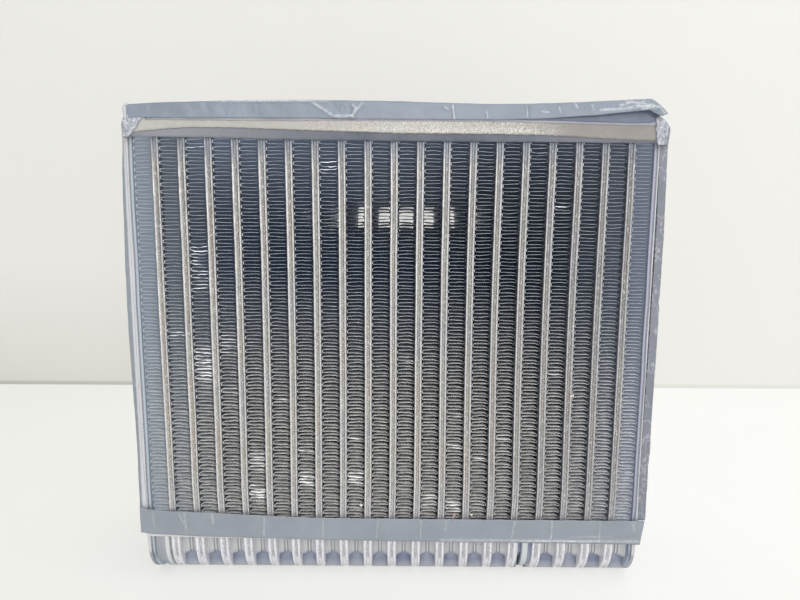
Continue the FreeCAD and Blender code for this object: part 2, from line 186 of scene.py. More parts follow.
class Recipe:
    """A node tree with short ways to add to it. A value is a plain one or a node's output."""

    def __init__(self, tree):
        self.tree = tree

    def plug(self, value, target):
        """Link a value to a socket, or set it. A colour of three numbers is in screen values of 0 to 255."""
        if not isinstance(value, (int, float, tuple)):
            self.tree.links.new(value, target)
        elif target.type == "RGBA" and len(value) == 3:
            target.default_value = tone(*value)
        else:
            target.default_value = value

    def add(self, kind, inputs=(), output=0, **settings):
        """Add a node, fill its inputs and give one of its outputs."""
        node = self.tree.nodes.new("ShaderNode" + kind)
        for name, value in settings.items():
            setattr(node, name, value)
        for name, value in inputs:
            self.plug(value, node.inputs[name])
        return node.outputs[output]

    def place(self):
        """A point's place in the frame, in metres."""
        return self.add("TexCoord", output="Object")

    def attribute(self, name):
        """A value that is kept on the mesh."""
        return self.add("Attribute", output="Fac", attribute_name=name)

    def stretched(self, tall):
        """Places for a pattern that is drawn out upwards."""
        return self.add("Mapping", (("Vector", self.place()), ("Scale", (1.0, 1.0, tall))))

    def noise(self, scale, detail=3.0, roughness=0.55, place=None):
        """Noise over the object. Scale is in waves per metre."""
        place = self.place() if place is None else place
        inputs = (("Vector", place), ("Scale", scale), ("Detail", detail), ("Roughness", roughness))
        return self.add("TexNoise", inputs, "Fac")

    def span(self, value, low, high, out_low=0.0, out_high=1.0):
        """Map a value from one range to another, and clamp it."""
        inputs = (("Value", value), ("From Min", low), ("From Max", high), ("To Min", out_low),
                  ("To Max", out_high))
        return self.add("MapRange", inputs, "Result")

    def fade(self, value, low, high, out_low=0.0, out_high=1.0):
        """Map a length from a range in millimetres to another range, and clamp it."""
        return self.span(value, low * MM, high * MM, out_low, out_high)

    def math(self, operation, first, second=0.0):
        return self.add("Math", ((0, first), (1, second)), operation=operation)

    def times(self, first, second):
        return self.math("MULTIPLY", first, second)

    def less(self, first, second):
        return self.math("SUBTRACT", first, second)

    def size(self, value):
        """A value without its sign."""
        return self.math("ABSOLUTE", value)

    def mix(self, share, first, second):
        """Mix two colours."""
        return self.add("Mix", ((0, share), (6, first), (7, second)), 2, data_type="RGBA")

    def coats(self, colour, *layers):
        """Lay coats over a colour. Each is a share and a colour of its own."""
        for share, coat in layers:
            colour = self.mix(share, colour, coat)
        return colour

    def brighter(self, colour, extra):
        """Add two colours."""
        return self.add("VectorMath", ((0, colour), (1, extra)))

    def scaled(self, colour, factor):
        """Make a colour stronger or weaker."""
        return self.add("VectorMath", (("Vector", colour), ("Scale", factor)), operation="SCALE")

    def use(self, group, **inputs):
        """Add a node group and give its outputs."""
        node = self.tree.nodes.new("ShaderNodeGroup")
        node.node_tree = group
        for name, value in inputs.items():
            self.plug(value, node.inputs[name])
        return node.outputs


class Finish(Recipe):
    """A material, with its Principled shader."""

    def __init__(self, name, roughness=0.5, metallic=0.0):
        self.material = bpy.data.materials.new(name)
        self.material.use_nodes = True
        super().__init__(self.material.node_tree)
        self.shader = self.tree.nodes["Principled BSDF"]
        self.set("Roughness", roughness)
        self.set("Metallic", metallic)

    def set(self, name, value):
        self.plug(value, self.shader.inputs[name])

    def veil(self, share=1.0, extra=None):
        """Let the veil's faint painted glow lie over the material as emission, with more painted light where
        there is some.
        """
        glow = self.scaled(self.use(VEIL)["Glow"], share)
        self.set("Emission Color", glow if extra is None else self.brighter(glow, extra))
        self.set("Emission Strength", 1.0)
        self.material.cycles.emission_sampling = "NONE"

    def relief(self, height, depth, strength=1.0):
        """Give the surface a fine relief. Depth is in metres."""
        inputs = (("Strength", strength), ("Distance", depth), ("Height", height))
        self.set("Normal", self.add("Bump", inputs))


def new_group(name, inputs, outputs):
    """A node group, a recipe for it and the sockets that it puts out."""
    group = bpy.data.node_groups.new(name, "ShaderNodeTree")
    for label, kind, default in inputs:
        made = group.interface.new_socket(name=label, in_out="INPUT", socket_type="NodeSocket" + kind)
        made.default_value = default
    for label, kind in outputs:
        group.interface.new_socket(name=label, in_out="OUTPUT", socket_type="NodeSocket" + kind)
    return group, Recipe(group), group.nodes.new("NodeGroupOutput").inputs


def place_group():
    """Where a point is: across from the middle of its piece, deep from the front or back, along and up."""
    names = ("Across", "Depth", "Along", "Height")
    group, recipe, end = new_group("place on the core", (), [(name, "Float") for name in names])
    parts = group.nodes.new("ShaderNodeSeparateXYZ")
    recipe.plug(recipe.place(), parts.inputs[0])
    across, depth = recipe.attribute("across"), recipe.less(HALF_DEPTH, recipe.size(parts.outputs["Y"]))
    for name, value in zip(names, (across, depth, parts.outputs["X"], parts.outputs["Z"])):
        recipe.plug(value, end[name])
    return group


def dust_group():
    """Metal with patches of dust: gives a colour, how dusty it is and a fine relief."""
    group, recipe, end = new_group(
        "dusty metal",
        (("Metal", "Color", tone(205, 205, 207)), ("Dust", "Color", tone(150, 140, 128)),
         ("Second", "Color", tone(140, 142, 138)), ("Amount", "Float", 0.5)),
        (("Colour", "Color"), ("Dustiness", "Float"), ("Relief", "Float")))
    start = group.nodes.new("NodeGroupInput").outputs
    patches, grain = recipe.noise(75, 4.0, 0.6), recipe.noise(1300, 2.0, 0.6)
    hue = recipe.noise(24, 2.0, 0.5)
    both = recipe.math("ADD", patches, recipe.times(grain, 0.7))
    level = recipe.less(1.15, recipe.times(start["Amount"], 0.6))
    mask = recipe.span(both, level, recipe.math("ADD", level, 0.2))
    dust = recipe.mix(recipe.span(hue, 0.4, 0.6), start["Dust"], start["Second"])
    recipe.plug(recipe.mix(mask, start["Metal"], dust), end["Colour"])
    recipe.plug(mask, end["Dustiness"])
    recipe.plug(grain, end["Relief"])
    return group


# the veil's painted glow between the outer columns, as (height in millimetres, linear colour)
VEIL_LEVELS = (
    (60, (0.0, 0.0, 0.0)), (90, (0.013, 0.013, 0.014)), (110, (0.013, 0.0145, 0.018)),
    (130, (0.0058, 0.0085, 0.0135)), (150, (0.009, 0.012, 0.018)), (170, (0.028, 0.034, 0.046)),
    (180, (0.040, 0.048, 0.064)),
)
VEIL_REACH = 200
# the veil's painted glow over the outer columns, in linear colours
VEIL_LEFT = (0.235, 0.268, 0.302, 1.0)
VEIL_RIGHT = (0.148, 0.166, 0.208, 1.0)
# how steeply that veil gathers towards both ends
VEIL_POWER = 8.0


def haze_group():
    """The milky veil in the photograph: a pale one over the outer columns, a faint navy one between them."""
    # the veil is a painted glow; Cover is how far a surface's own colour gives way to a dark base beneath it
    group, recipe, end = new_group("veil", (), (("Glow", "Color"), ("Cover", "Float")))
    place = recipe.use(PLACE)
    along, height = place["Along"], place["Height"]
    spread = recipe.math("POWER", recipe.size(recipe.math("DIVIDE", along, CORE_HALF)), VEIL_POWER)
    outer = recipe.mix(spread, BLACK, recipe.mix(recipe.fade(along, -5, 5), VEIL_LEFT, VEIL_RIGHT))
    ramp = group.nodes.new("ShaderNodeValToRGB")
    for level, colour in VEIL_LEVELS:
        ramp.color_ramp.elements.new(level / VEIL_REACH).color = (*colour, 1.0)
    recipe.plug(recipe.math("DIVIDE", height, VEIL_REACH * MM), ramp.inputs[0])
    inner = recipe.times(recipe.span(spread, 0.3, 0.05), recipe.fade(along, -60, 40, 1.6, 0.6))
    recipe.plug(recipe.brighter(outer, recipe.scaled(ramp.outputs["Color"], inner)), end["Glow"])
    low = recipe.fade(along, -5, 5, 0.8, 0.3)
    recipe.plug(recipe.times(spread, recipe.fade(height, 150, 60, 0.3, low)), end["Cover"])
    return group


PLACE = place_group()
DUST = dust_group()
VEIL = haze_group()


def dusty_metal(name, metal, dust, second, amount):
    """Brazed aluminium under dust: the finish and its colour."""
    clean, dull, shine = 0.42, 0.85, 0.35
    finish = Finish(name)
    effect = finish.use(DUST, Metal=metal, Dust=dust, Second=second, Amount=amount)
    finish.set("Base Color", effect["Colour"])
    finish.set("Metallic", finish.span(effect["Dustiness"], 0.0, 1.0, shine, 0.0))
    finish.set("Roughness", finish.span(effect["Dustiness"], 0.0, 1.0, clean, dull))
    finish.relief(effect["Relief"], 0.12 * MM, 0.5)
    return finish, effect["Colour"]


def tube_material():
    """Tubes: pale rims in front, with brown or olive dust packed between them, painted shade on their flanks
    and below the foam, a painted glow deep in the flanks and painted light on the rims near the tank.
    """
    finish, metal = dusty_metal("tube aluminium", (216, 214, 213), (196, 190, 187), (192, 192, 190), 0.35)
    place = finish.use(PLACE)
    across, along, height, depth = (place[name] for name in ("Across", "Along", "Height", "Depth"))
    middle = finish.size(finish.less(across, finish.fade(along, -50, 50, 0.1 * MM, -0.1 * MM)))
    groove = finish.span(middle, GROOVE_HALF - 0.06 * MM, GROOVE_HALF - 0.2 * MM)
    inside = finish.times(groove, finish.fade(depth, 2.2, 1.2))
    hue = finish.noise(32, 2.0, 0.5)
    brown = finish.mix(finish.span(hue, 0.36, 0.48), (166, 154, 147), (164, 163, 154))
    brown = finish.mix(finish.span(hue, 0.52, 0.62), brown, (154, 154, 158))
    brown = finish.coats(brown, (finish.fade(along, 20, 80), finish.mix(0.6, brown, (138, 136, 138))),
                         (finish.fade(height, 70, 165, 0.0, 0.5), (104, 102, 104)))
    # below 30 mm the rims are painted near white: painted light from the floor near the tank
    rims = finish.coats(metal, (finish.fade(along, 10, 80, 0.0, 0.9), (172, 172, 175)),
                        (finish.fade(across, 0.0, 0.3, 0.0, 0.45), (176, 175, 176)),
                        (finish.fade(height, 30, 22), (238, 238, 243)))
    colour = finish.mix(inside, rims, finish.mix(finish.fade(height, 22, 50), (184, 184, 192), brown))
    grain = finish.noise(2100, 2.0, 0.7, finish.stretched(0.45))
    bright, dark = (finish.times(finish.span(grain, *reach), 0.42) for reach in ((0.56, 0.64), (0.44, 0.36)))
    # painted shade down the flanks beside the fins, darker further in, with a faint painted glow where they
    # are deepest
    flank_shade = finish.times(finish.fade(finish.size(across), 1.2, 1.4), finish.fade(height, 20, 30))
    deep = finish.mix(finish.fade(depth, 2, 7), (94, 96, 104), (60, 66, 84))
    # above 169 mm the tubes are painted blue-grey: painted shade below the foam
    finish.set("Base Color", finish.coats(
        colour, (bright, (244, 242, 240)), (dark, (112, 108, 106)), (flank_shade, deep),
        (finish.fade(height, 169, 179, 0.0, 0.85), (134, 140, 153))))
    finish.veil(finish.times(flank_shade, finish.fade(depth, 1.5, 4)))
    return finish.material


def fin_material():
    """Foil: pale along its front and back edges, with painted highlights on its front crests and bent legs,
    painted shade darker and bluer further in and in the crests beside the tubes, and the veil's painted
    glow.
    """
    finish = Finish("fin foil", 0.38, 0.25)
    place = finish.use(PLACE)
    along, across, height, depth = (place[name] for name in ("Along", "Across", "Height", "Depth"))
    specks = finish.span(finish.noise(420, 3.0, 0.6), 0.35, 0.65)
    down = finish.fade(height, 130, 70)
    pale = finish.mix(down, finish.mix(specks, (140, 147, 156), (180, 186, 194)),
                      finish.mix(specks, (204, 203, 202), (250, 249, 247)))
    # painted shade: further in from the edges the foil is painted darker and bluer, darkest deep inside
    near = finish.mix(down, (110, 120, 140), (116, 117, 120))
    far = finish.mix(down, (58, 68, 92), (70, 73, 82))
    edge = finish.fade(height, 130, 90, 1.0 * MM, 1.8 * MM)
    inward = finish.span(depth, edge, finish.math("ADD", edge, 1.6 * MM))
    half = GAP / 2 / MM
    # painted shade in the crests beside the tubes, stronger higher up
    crests = finish.math("ADD", finish.fade(across, half - 1.1, half - 0.6),
                         finish.fade(across, 0.5 - half, 0.2 - half, 0.0, 0.6))
    # painted highlight on the left crests along the front and back edges
    crest_highlight = finish.times(finish.fade(depth, 0.75, 0.45), finish.fade(across, 0.45 - half, 0.3 - half))
    # painted shade on the foil round the patch where one sees through the core
    aside, level = finish.size(finish.less(along, CLEAR_X)), finish.size(finish.less(height, CLEAR_Z))
    against = finish.times(finish.fade(aside, 28, 22), finish.fade(level, 8, 5, 0.0, 0.7))
    # painted highlight and painted glow on the front of bent legs
    bent_highlight = finish.times(finish.attribute("bent"), finish.fade(depth, 2.0, 1.0))
    # the veil's Cover lays a dark base on the outer columns under its painted glow
    finish.set("Base Color", finish.coats(
        pale, (inward, finish.mix(finish.fade(depth, 3, 12), near, far)),
        (finish.times(crests, finish.fade(height, 20, 110, 0.35, 0.8)), (40, 43, 52)),
        (crest_highlight, (236, 236, 236)), (against, (30, 34, 44)), (finish.use(VEIL)["Cover"], (40, 44, 50)),
        (bent_highlight, (252, 252, 252))))
    finish.veil(1.0, finish.mix(bent_highlight, BLACK, (0.7, 0.7, 0.7, 1.0)))
    return finish.material


def film_material(name, colour, second, roughness=0.3, grain=0.25, squiggles=0.0, edge=None, fine=1.0,
                  inner=False):
    """Soft film: a faint haze, painted highlights on its creases and on thin squiggles where it is gathered,
    painted shade in the gathered hollows and at its outer edge, and, on an inner side, painted light on the
    lip.
    """
    finish = Finish(name, roughness)
    haze = finish.span(finish.noise(60, 4.0, 0.6), 0.35, 0.65)
    broken = finish.span(finish.noise(900, 2.0, 0.6), 0.42, 0.58, 0.45, 1.0)
    base = finish.mix(haze, colour, second)
    # painted highlight on the creases, broken up in places
    base = finish.mix(finish.times(finish.attribute("crease"), broken), base, (238, 241, 246))
    if squiggles:
        # painted highlights on the crinkles' ridges and painted shade in their hollows
        folds = finish.noise(300 * fine, 2.0, 0.5, finish.stretched(0.5))
        ridge = finish.span(finish.size(finish.less(folds, 0.5)), 0.03, 0.004)
        valley = finish.span(finish.noise(260, 2.0, 0.5), 0.46, 0.36)
        base = finish.coats(base, (finish.times(ridge, squiggles), (226, 228, 234)),
                            (finish.times(valley, 0.6), (128, 130, 146)))
    if edge is not None:
        # painted shade where the film turns round its outer edge; on an inner side, painted light on the lip
        # beside the plate's rim
        along = finish.use(PLACE)["Along"]
        out = finish.size(along)
        start = finish.fade(along, -50, 50, edge[0] * MM, edge[1] * MM)
        rim = finish.span(out, start, finish.math("ADD", start, 0.5 * MM), 0.0, 0.75)
        base = finish.mix(rim, base, (136, 143, 150) if inner else (112, 115, 124))
        if inner:
            base = finish.mix(finish.fade(out, 102.4, 101.9, 0.0, 0.9), base, (206, 207, 213))
    finish.set("Base Color", base)
    finish.relief(finish.noise(260, 3.0, 0.5), 0.5 * MM, grain)
    return finish.material


def foam_material():
    """The cut face of the foam: cream at the left, browner at the right, with bright crumbs between that
    carry a painted sparkle.
    """
    finish = Finish("beige foam", 0.75)
    place = finish.use(PLACE)
    along = place["Along"]
    patches = finish.span(finish.noise(110, 3.0, 0.6), 0.35, 0.65)
    crumbs = finish.noise(3600, 2.0, 0.7)
    middle = finish.times(finish.fade(along, -50, 10), finish.fade(along, 66, 50))
    rows = finish.fade(finish.size(finish.less(place["Height"], FOAM_MIDDLE)), 0.4, 1.6, 0.6, 1.0)
    # bright crumbs: pale crumbs with a painted sparkle where the cut cells catch the light
    bright = finish.times(finish.span(crumbs, 0.50, 0.57), finish.times(middle, rows))
    dark = finish.times(finish.span(crumbs, 0.46, 0.38), 0.35)
    base = finish.mix(finish.fade(along, -95, -20), (196, 196, 191), (191, 187, 184))
    finish.set("Base Color", finish.coats(
        base, (finish.fade(along, 20, 65), (156, 152, 151)), (finish.times(patches, 0.35), (176, 168, 158)),
        (dark, (140, 132, 120)), (bright, (252, 250, 244))))
    finish.relief(crumbs, 0.5 * MM, 0.6)
    return finish.material


def plain_material(name, colour, roughness=0.6, grain=0.0):
    """One colour, a little darker in soft patches. Grain is the depth of its relief."""
    finish = Finish(name, roughness)
    shade = finish.span(finish.noise(90, 4.0, 0.6), 0.3, 0.7)
    darker = tuple(value * 0.88 for value in tone(*colour)[:3]) + (1.0,)
    finish.set("Base Color", finish.mix(shade, darker, colour))
    if grain:
        finish.relief(finish.noise(900, 2.0, 0.6), grain, 0.6)
    return finish.material


def slope_material():
    """The foam's lower slope, facing down: painted shade, darkest in the middle and paler towards both ends.
    """
    finish = Finish("foam slope", 0.7)
    along = finish.use(PLACE)["Along"]
    stains = finish.span(finish.noise(140, 3.0, 0.6), 0.4, 0.62, 0.0, 0.3)
    base = finish.mix(finish.fade(along, -85, -15), (146, 148, 155), (98, 104, 115))
    finish.set("Base Color", finish.coats(
        base, (finish.fade(along, 30, 85), (129, 132, 145)), (stains, (140, 138, 146))))
    finish.relief(finish.noise(900, 2.0, 0.6), FOAM_GRAIN, 0.6)
    return finish.material


def skin_material():
    """The tank's smooth skin: painted shade in blue-grey under the cups, and painted paler towards its foot
    for the floor's reflected light.
    """
    finish = Finish("skin aluminium", 0.5)
    stains = finish.span(finish.noise(110, 3.0, 0.6), 0.4, 0.62)
    # painted shade under the cups, with stains; below 7.5 mm a painted reflection of the floor
    blue = finish.mix(stains, (143, 148, 164), (121, 128, 151))
    up = finish.fade(finish.use(PLACE)["Height"], 1.0, 7.5)
    finish.set("Base Color", finish.mix(up, (196, 197, 203), blue))
    return finish.material


def cup_material():
    """The tank's cups: pale dusty metal with painted shade in a line each side of the seam between two
    tubes.
    """
    finish, metal = dusty_metal("cup aluminium", (206, 207, 210), (194, 192, 194), (188, 190, 197), 0.3)
    away = finish.size(finish.less(finish.size(finish.use(PLACE)["Across"]), CUP_SEAM))
    finish.set("Base Color", finish.mix(finish.fade(away, 0.36, 0.1, 0.0, 0.5), metal, (134, 133, 138)))
    return finish.material


def side_material():
    """The side plates: duller than the tubes, with a dark groove, a lavender inner rim at the right and a
    painted glow on their inner flanks.
    """
    finish, metal = dusty_metal("side plate aluminium", (204, 205, 208), (182, 180, 184), (178, 184, 194),
                                0.45)
    place = finish.use(PLACE)
    along, across, depth = place["Along"], place["Across"], place["Depth"]
    right = finish.fade(along, 0, 1)
    inner = finish.times(right, finish.fade(across, -0.3, -0.5))
    second = finish.times(finish.less(1.0, right), finish.fade(across, 0.0, 0.3))
    finish.set("Base Color", finish.coats(
        metal, (inner, (168, 170, 188)), (second, (180, 190, 200)),
        (finish.fade(depth, 0.3, 0.6, 0.0, 0.6), (122, 130, 142))))
    # painted glow on the inner flank, deeper than 1 mm
    inward = finish.fade(finish.size(along), 99.2, 98.9)
    finish.veil(finish.times(inward, finish.fade(depth, 1.0, 2.5, 0.0, 0.85)))
    return finish.material


# the middle of the patch where one sees through the core, round which the foil is painted in shade: its
# place along and its height
CLEAR_X = 4 * MM
CLEAR_Z = 150 * MM
FOAM_GRAIN = 0.3 * MM
FOAM_MIDDLE = 184.2 * MM
CUP_SEAM = 4.42 * MM
TUBE_METAL = tube_material()
CUP_METAL = cup_material()
RIM_METAL = dusty_metal("rim aluminium", (214, 218, 219), (194, 194, 196), (196, 199, 208), 0.35)[0].material
SIDE_METAL = side_material()
SKIN_METAL = skin_material()
FIN_FOIL = fin_material()
PIPE_METAL = dusty_metal("pipe aluminium", (196, 197, 199), (170, 168, 164), (160, 162, 164),
                         0.3)[0].material
FILM = film_material("grey film", (127, 138, 149), (136, 145, 159))
# the film beneath the flap is painted darker than the film: painted shade under the flap
UNDER_FILM = film_material("film beneath the flap", (104, 112, 134), (118, 124, 144))
LOWER_FILM = film_material("lower layer of film", (146, 147, 160), (164, 162, 170))
BAND_FILM = film_material("band film", (140, 146, 155), (148, 154, 163), 0.38, 0.12)
SIDE_FILM = film_material("side film", (127, 137, 143), (138, 142, 150), 0.4, 0.4, 0.2, (102.2, 103.0),
                          inner=True)
CORNER_FILM = film_material("crinkled film", (150, 154, 164), (178, 181, 188), 0.28, 0.6, 0.9,
                            (100.5, 101.7), 2.2)
RIGHT_FILM = film_material("right side film", (118, 123, 133), (132, 134, 145), 0.4, 0.4, 0.3,
                           (103.0, 103.4))
BEIGE_FOAM = foam_material()
GREY_FOAM = plain_material("grey foam", (128, 132, 141), 0.7, FOAM_GRAIN)
SLOPE_FOAM = slope_material()
WEB_METAL = plain_material("end cap web", (166, 170, 177), 0.5)
PINK_CHIP = plain_material("pink flake", (214, 170, 162), 0.8)
PALE_CHIP = plain_material("pale flake", (240, 232, 226), 0.8)
CREAM_FOAM = plain_material("cream foam", (212, 213, 211), 0.8)


# Tubes and plates

FOOT_PARTS = 12
CUP_PARTS = 8


def round_corners(bm, corners, radius, parts):
    """Make corners of a face round."""
    bmesh.ops.bevel(bm, geom=corners, offset=radius, segments=parts, profile=0.5, affect="VERTICES",
                    material=-1)


def plate_face(bm, x, height, cuts=0):
    """A plate's outline across the stack: a tall face with both lower corners made round."""
    corners = ((FRONT, height), (FRONT, 0), (BACK, 0), (BACK, height))
    face = bm.faces.new([bm.verts.new((x, y, z)) for y, z in corners])
    round_corners(bm, [vert for vert in face.verts if vert.co.z == 0], CORNER_RADIUS, FOOT_PARTS)
    if cuts:
        sides = [edge for edge in bm.edges if abs(edge.verts[0].co.y - edge.verts[1].co.y) < MM
                 and edge.calc_length() > CORNER_RADIUS]
        bmesh.ops.subdivide_edges(bm, edges=sides, cuts=cuts)
    return bm.faces[:]


def cup_face(bm, x):
    """The rounded outline of a cup of the front row."""
    front = FRONT + CUP_SETBACK
    back = -CUP_DIVIDER / 2
    top = CUP_BASE + CUP_HEIGHT
    corners = ((front, CUP_BASE), (back, CUP_BASE), (back, top), (front, top))
    face = bm.faces.new([bm.verts.new((x, y, z)) for y, z in corners])
    round_corners(bm, list(face.verts), CUP_CORNER, CUP_PARTS)
    return bm.faces[:]


def raise_layers(bm, faces, steps, pivot, reach, lift=1.0):
    """Extrude faces along X in steps of place and inset. Each inset draws them in to the pivot."""
    last = 0.0
    verts = bm.verts[:]
    for count, (x, inset) in enumerate(steps):
        if count:
            made = bmesh.ops.extrude_face_region(bm, geom=faces)["geom"]
            faces, verts = only(made, bmesh.types.BMFace), only(made, bmesh.types.BMVert)
        shrink = [(size - inset * share) / (size - last * share) for size, share in zip(reach, (1.0, lift))]
        move(bm, verts, x - verts[0].co.x, 0, 0)
        bmesh.ops.scale(bm, verts=verts, vec=(1, *shrink), space=Matrix.Translation(-Vector(pivot)))
        last = inset


def add_plate_body(bm, middle, steps, height=None, cuts=0):
    """A plate pair: its outline raised in layers that give the rims and the groove between."""
    height = PLATE_TOP if height is None else height
    faces = plate_face(bm, middle, height, cuts=cuts)
    layers = [(middle + x * MM, inset * MM) for x, inset in steps]
    raise_layers(bm, faces, layers, (0, 0, height), (HALF_DEPTH, height))


def join(bm, part):
    """Add a separate bmesh to another."""
    mesh = bpy.data.meshes.new("part")
    part.to_mesh(mesh)
    part.free()
    bm.from_mesh(mesh)
    bpy.data.meshes.remove(mesh)


# a plate pair's section: place across the tube and depth below the rim, in millimetres
PAIR_SECTION = (
    (-1.6, 1.3), (-1.48, 0.55), (-1.36, 0.14), (-1.22, 0.0), (-0.82, 0.0), (-0.7, 0.12), (-0.56, 0.5),
    (-0.38, 0.34), (0.3, 0.34), (0.46, 0.52), (0.62, 0.14), (0.76, 0.0), (1.2, 0.0), (1.36, 0.14),
    (1.48, 0.55), (1.6, 1.3),
)
# a cup's section from inside the plate's face out to the seam with its neighbour
CUP_SECTION = (
    (1.4, 0.0), (1.9, 0.3), (2.4, 0.85), (3.0, 1.35), (3.6, 1.7), (4.1, 1.95), (4.22, 2.1), (4.3, 2.35),
    (4.52, 2.35), (4.62, 2.1), (4.7, 2.0), (5.0, 2.0),
)
CUP_LIFT = 0.3
# how many cuts there are up the straight edges of a tube and of a side plate
TUBE_CUTS = 130
SIDE_CUTS = 90
# what makes the noise of one piece differ from that of the next
SEED_STEP = 0.37
# the side plates' sections, left and right, as for a plate pair
SIDE_SECTIONS = {
    -1: ((-1.6, 0.1), (-1.5, 0.0), (-0.42, 0.0), (-0.32, 0.2), (-0.25, 0.6), (0.2, 0.6), (0.28, 0.25),
         (0.4, 0.0),
         (1.0, 0.0), (1.15, 0.15), (1.3, 0.9), (1.6, 1.2)),
    1: ((-1.6, 1.2), (-1.5, 0.6), (-1.4, 0.3), (-1.3, 0.25), (-0.72, 0.25), (-0.64, 0.35), (-0.56, 0.65),
        (-0.22, 0.65), (-0.1, 0.25), (0.0, 0.0), (1.1, 0.0), (1.25, 0.1), (1.4, 0.4), (1.6, 0.6)),
}
# the end cap's rim and the block's rim and strip: name, whose middle, section
RIMS = (
    ("end_cap_rim", CAP_X, ((0.5, 1.3), (0.55, 0.4), (0.75, 0.0), (2.15, 0.0), (2.35, 0.3), (2.45, 1.3))),
    ("outlet_block_rim", BLOCK_X,
     ((-0.9, 1.8), (-0.8, 1.0), (-0.55, 0.7), (1.45, 0.7), (1.7, 1.0), (1.8, 1.8))),
    ("outlet_block_strip", BLOCK_X, ((-3.6, 1.4), (-3.5, 0.8), (-2.5, 0.8), (-2.3, 1.6))),
)


def add_cups(bm, middle, side):
    """The front and the back cup on one side of a tube. They end at the seam in the middle of the gap."""
    centre = (0, FRONT / 2 + CUP_SETBACK / 2 - CUP_DIVIDER / 4, CUP_BASE + CUP_HEIGHT / 2)
    reach = ((HALF_DEPTH - CUP_SETBACK - CUP_DIVIDER / 2) / 2, CUP_HEIGHT / 2)
    for row in (1, -1):
        part = bmesh.new()
        faces = cup_face(part, 0.0)
        raise_layers(part, faces, [(x * MM, inset * MM) for x, inset in CUP_SECTION], centre, reach,
                     CUP_LIFT)
        bmesh.ops.scale(part, verts=part.verts, vec=(side, row, 1))
        move(part, part.verts, middle, 0, 0)
        join(bm, part)


def knock_rims(bm, middle, seed):
    """Wear on the rims: a slight waver, rims that thin out at the tank and feet that part."""
    for vert in bm.verts:
        x = vert.co.x - middle
        y, z = vert.co.y, vert.co.z
        low = 1 - ease(z, 18 * MM, 27 * MM)
        foot = (1 - ease(z, 1.0 * MM, 4.0 * MM)) * (abs(y) > 15 * MM)
        side = 1 if x > 0 else -1
        if abs(x) < 0.75 * MM:
            vert.co.x += side * 0.14 * MM * low
        else:
            vert.co.x += side * (0.26 * low + 0.2 * foot) * MM
        vert.co.x += ripple(seed, y, z, 13 * MM) * 0.1 * MM + ripple(seed + 3, y, z, 3 * MM) * 0.06 * MM
        if abs(x) > 1.0 * MM:
            vert.co.x += side * abs(ripple(seed + side, y, z, 1.1 * MM)) * 0.16 * MM
        vert.co.y += ripple(x * 4, seed, z, 2.0 * MM) * 0.14 * MM


def make_tubes():
    """Every flat tube with its rims and its cups."""
    count = len(TUBES)
    before_block = round(BLOCK_X / PITCH + count / 2)
    for index, node in enumerate(TUBES, start=1):
        bm = bmesh.new()
        middle = tube_x(index)
        add_plate_body(bm, middle, PAIR_SECTION, cuts=TUBE_CUTS)
        knock_rims(bm, middle, index * SEED_STEP)
        push(bm, middle, PITCH / 2)
        finish_piece(node + "_dressed", bm, TUBE_METAL, (node,))
        sides = []
        if index not in (1, before_block + 1):
            sides.append(-1)
        if index != before_block:
            sides.append(1)
        bm = bmesh.new()
        for side in sides:
            add_cups(bm, middle, side)
        push(bm, middle, PITCH / 2)
        finish_piece(node + "_cups", bm, CUP_METAL, (node,))


SKIN_TURN = math.radians(60)
SKIN_RISE = math.radians(50)
SKIN_RADIUS = 5.2 * MM
SKIN_THICKNESS = 0.4 * MM
BLOCK_HALF = 1.9 * MM


def turn_round(bm, geom, bends, way):
    """Carry geometry round bends, each given as its centre, its angle and its steps."""
    for (y, z), angle, steps in bends:
        geom = bmesh.ops.spin(bm, geom=geom, cent=(0, way * y, z), axis=(1, 0, 0), angle=angle,
                              steps=steps)["geom_last"]
    return geom


def add_skin(bm, left, right):
    """The sheet that closes a gap below the cups, from under the front cup round to the back one."""
    part = bmesh.new()
    outer = CORNER_RADIUS - FOOT_INSET
    centre_y = FRONT + CORNER_RADIUS
    turn_y = centre_y - outer * math.cos(SKIN_TURN)
    turn_z = CORNER_RADIUS - outer * math.sin(SKIN_TURN)
    upper = (turn_y + SKIN_RADIUS * math.cos(SKIN_TURN), turn_z + SKIN_RADIUS * math.sin(SKIN_TURN))
    start = (upper[0] - SKIN_RADIUS * math.cos(SKIN_RISE), upper[1] + SKIN_RADIUS * math.sin(SKIN_RISE))
    geom = [part.verts.new((x, *start)) for x in (left, right)]
    geom.append(part.edges.new(geom))
    bends = ((upper, SKIN_TURN + SKIN_RISE, 9), ((centre_y, CORNER_RADIUS), math.pi / 2 - SKIN_TURN, 5))
    geom = turn_round(part, geom, bends, 1)
    made = bmesh.ops.extrude_edge_only(part, edges=only(geom, bmesh.types.BMEdge))["geom"]
    verts = only(made, bmesh.types.BMVert)
    move(part, verts, 0, -2 * centre_y, 0)
    across = [edge for edge in only(made, bmesh.types.BMEdge)
              if edge.verts[0] in verts and edge.verts[1] in verts]
    turn_round(part, verts + across, reversed(bends), -1)
    bmesh.ops.remove_doubles(part, verts=part.verts, dist=0.01 * MM)
    join(bm, part)


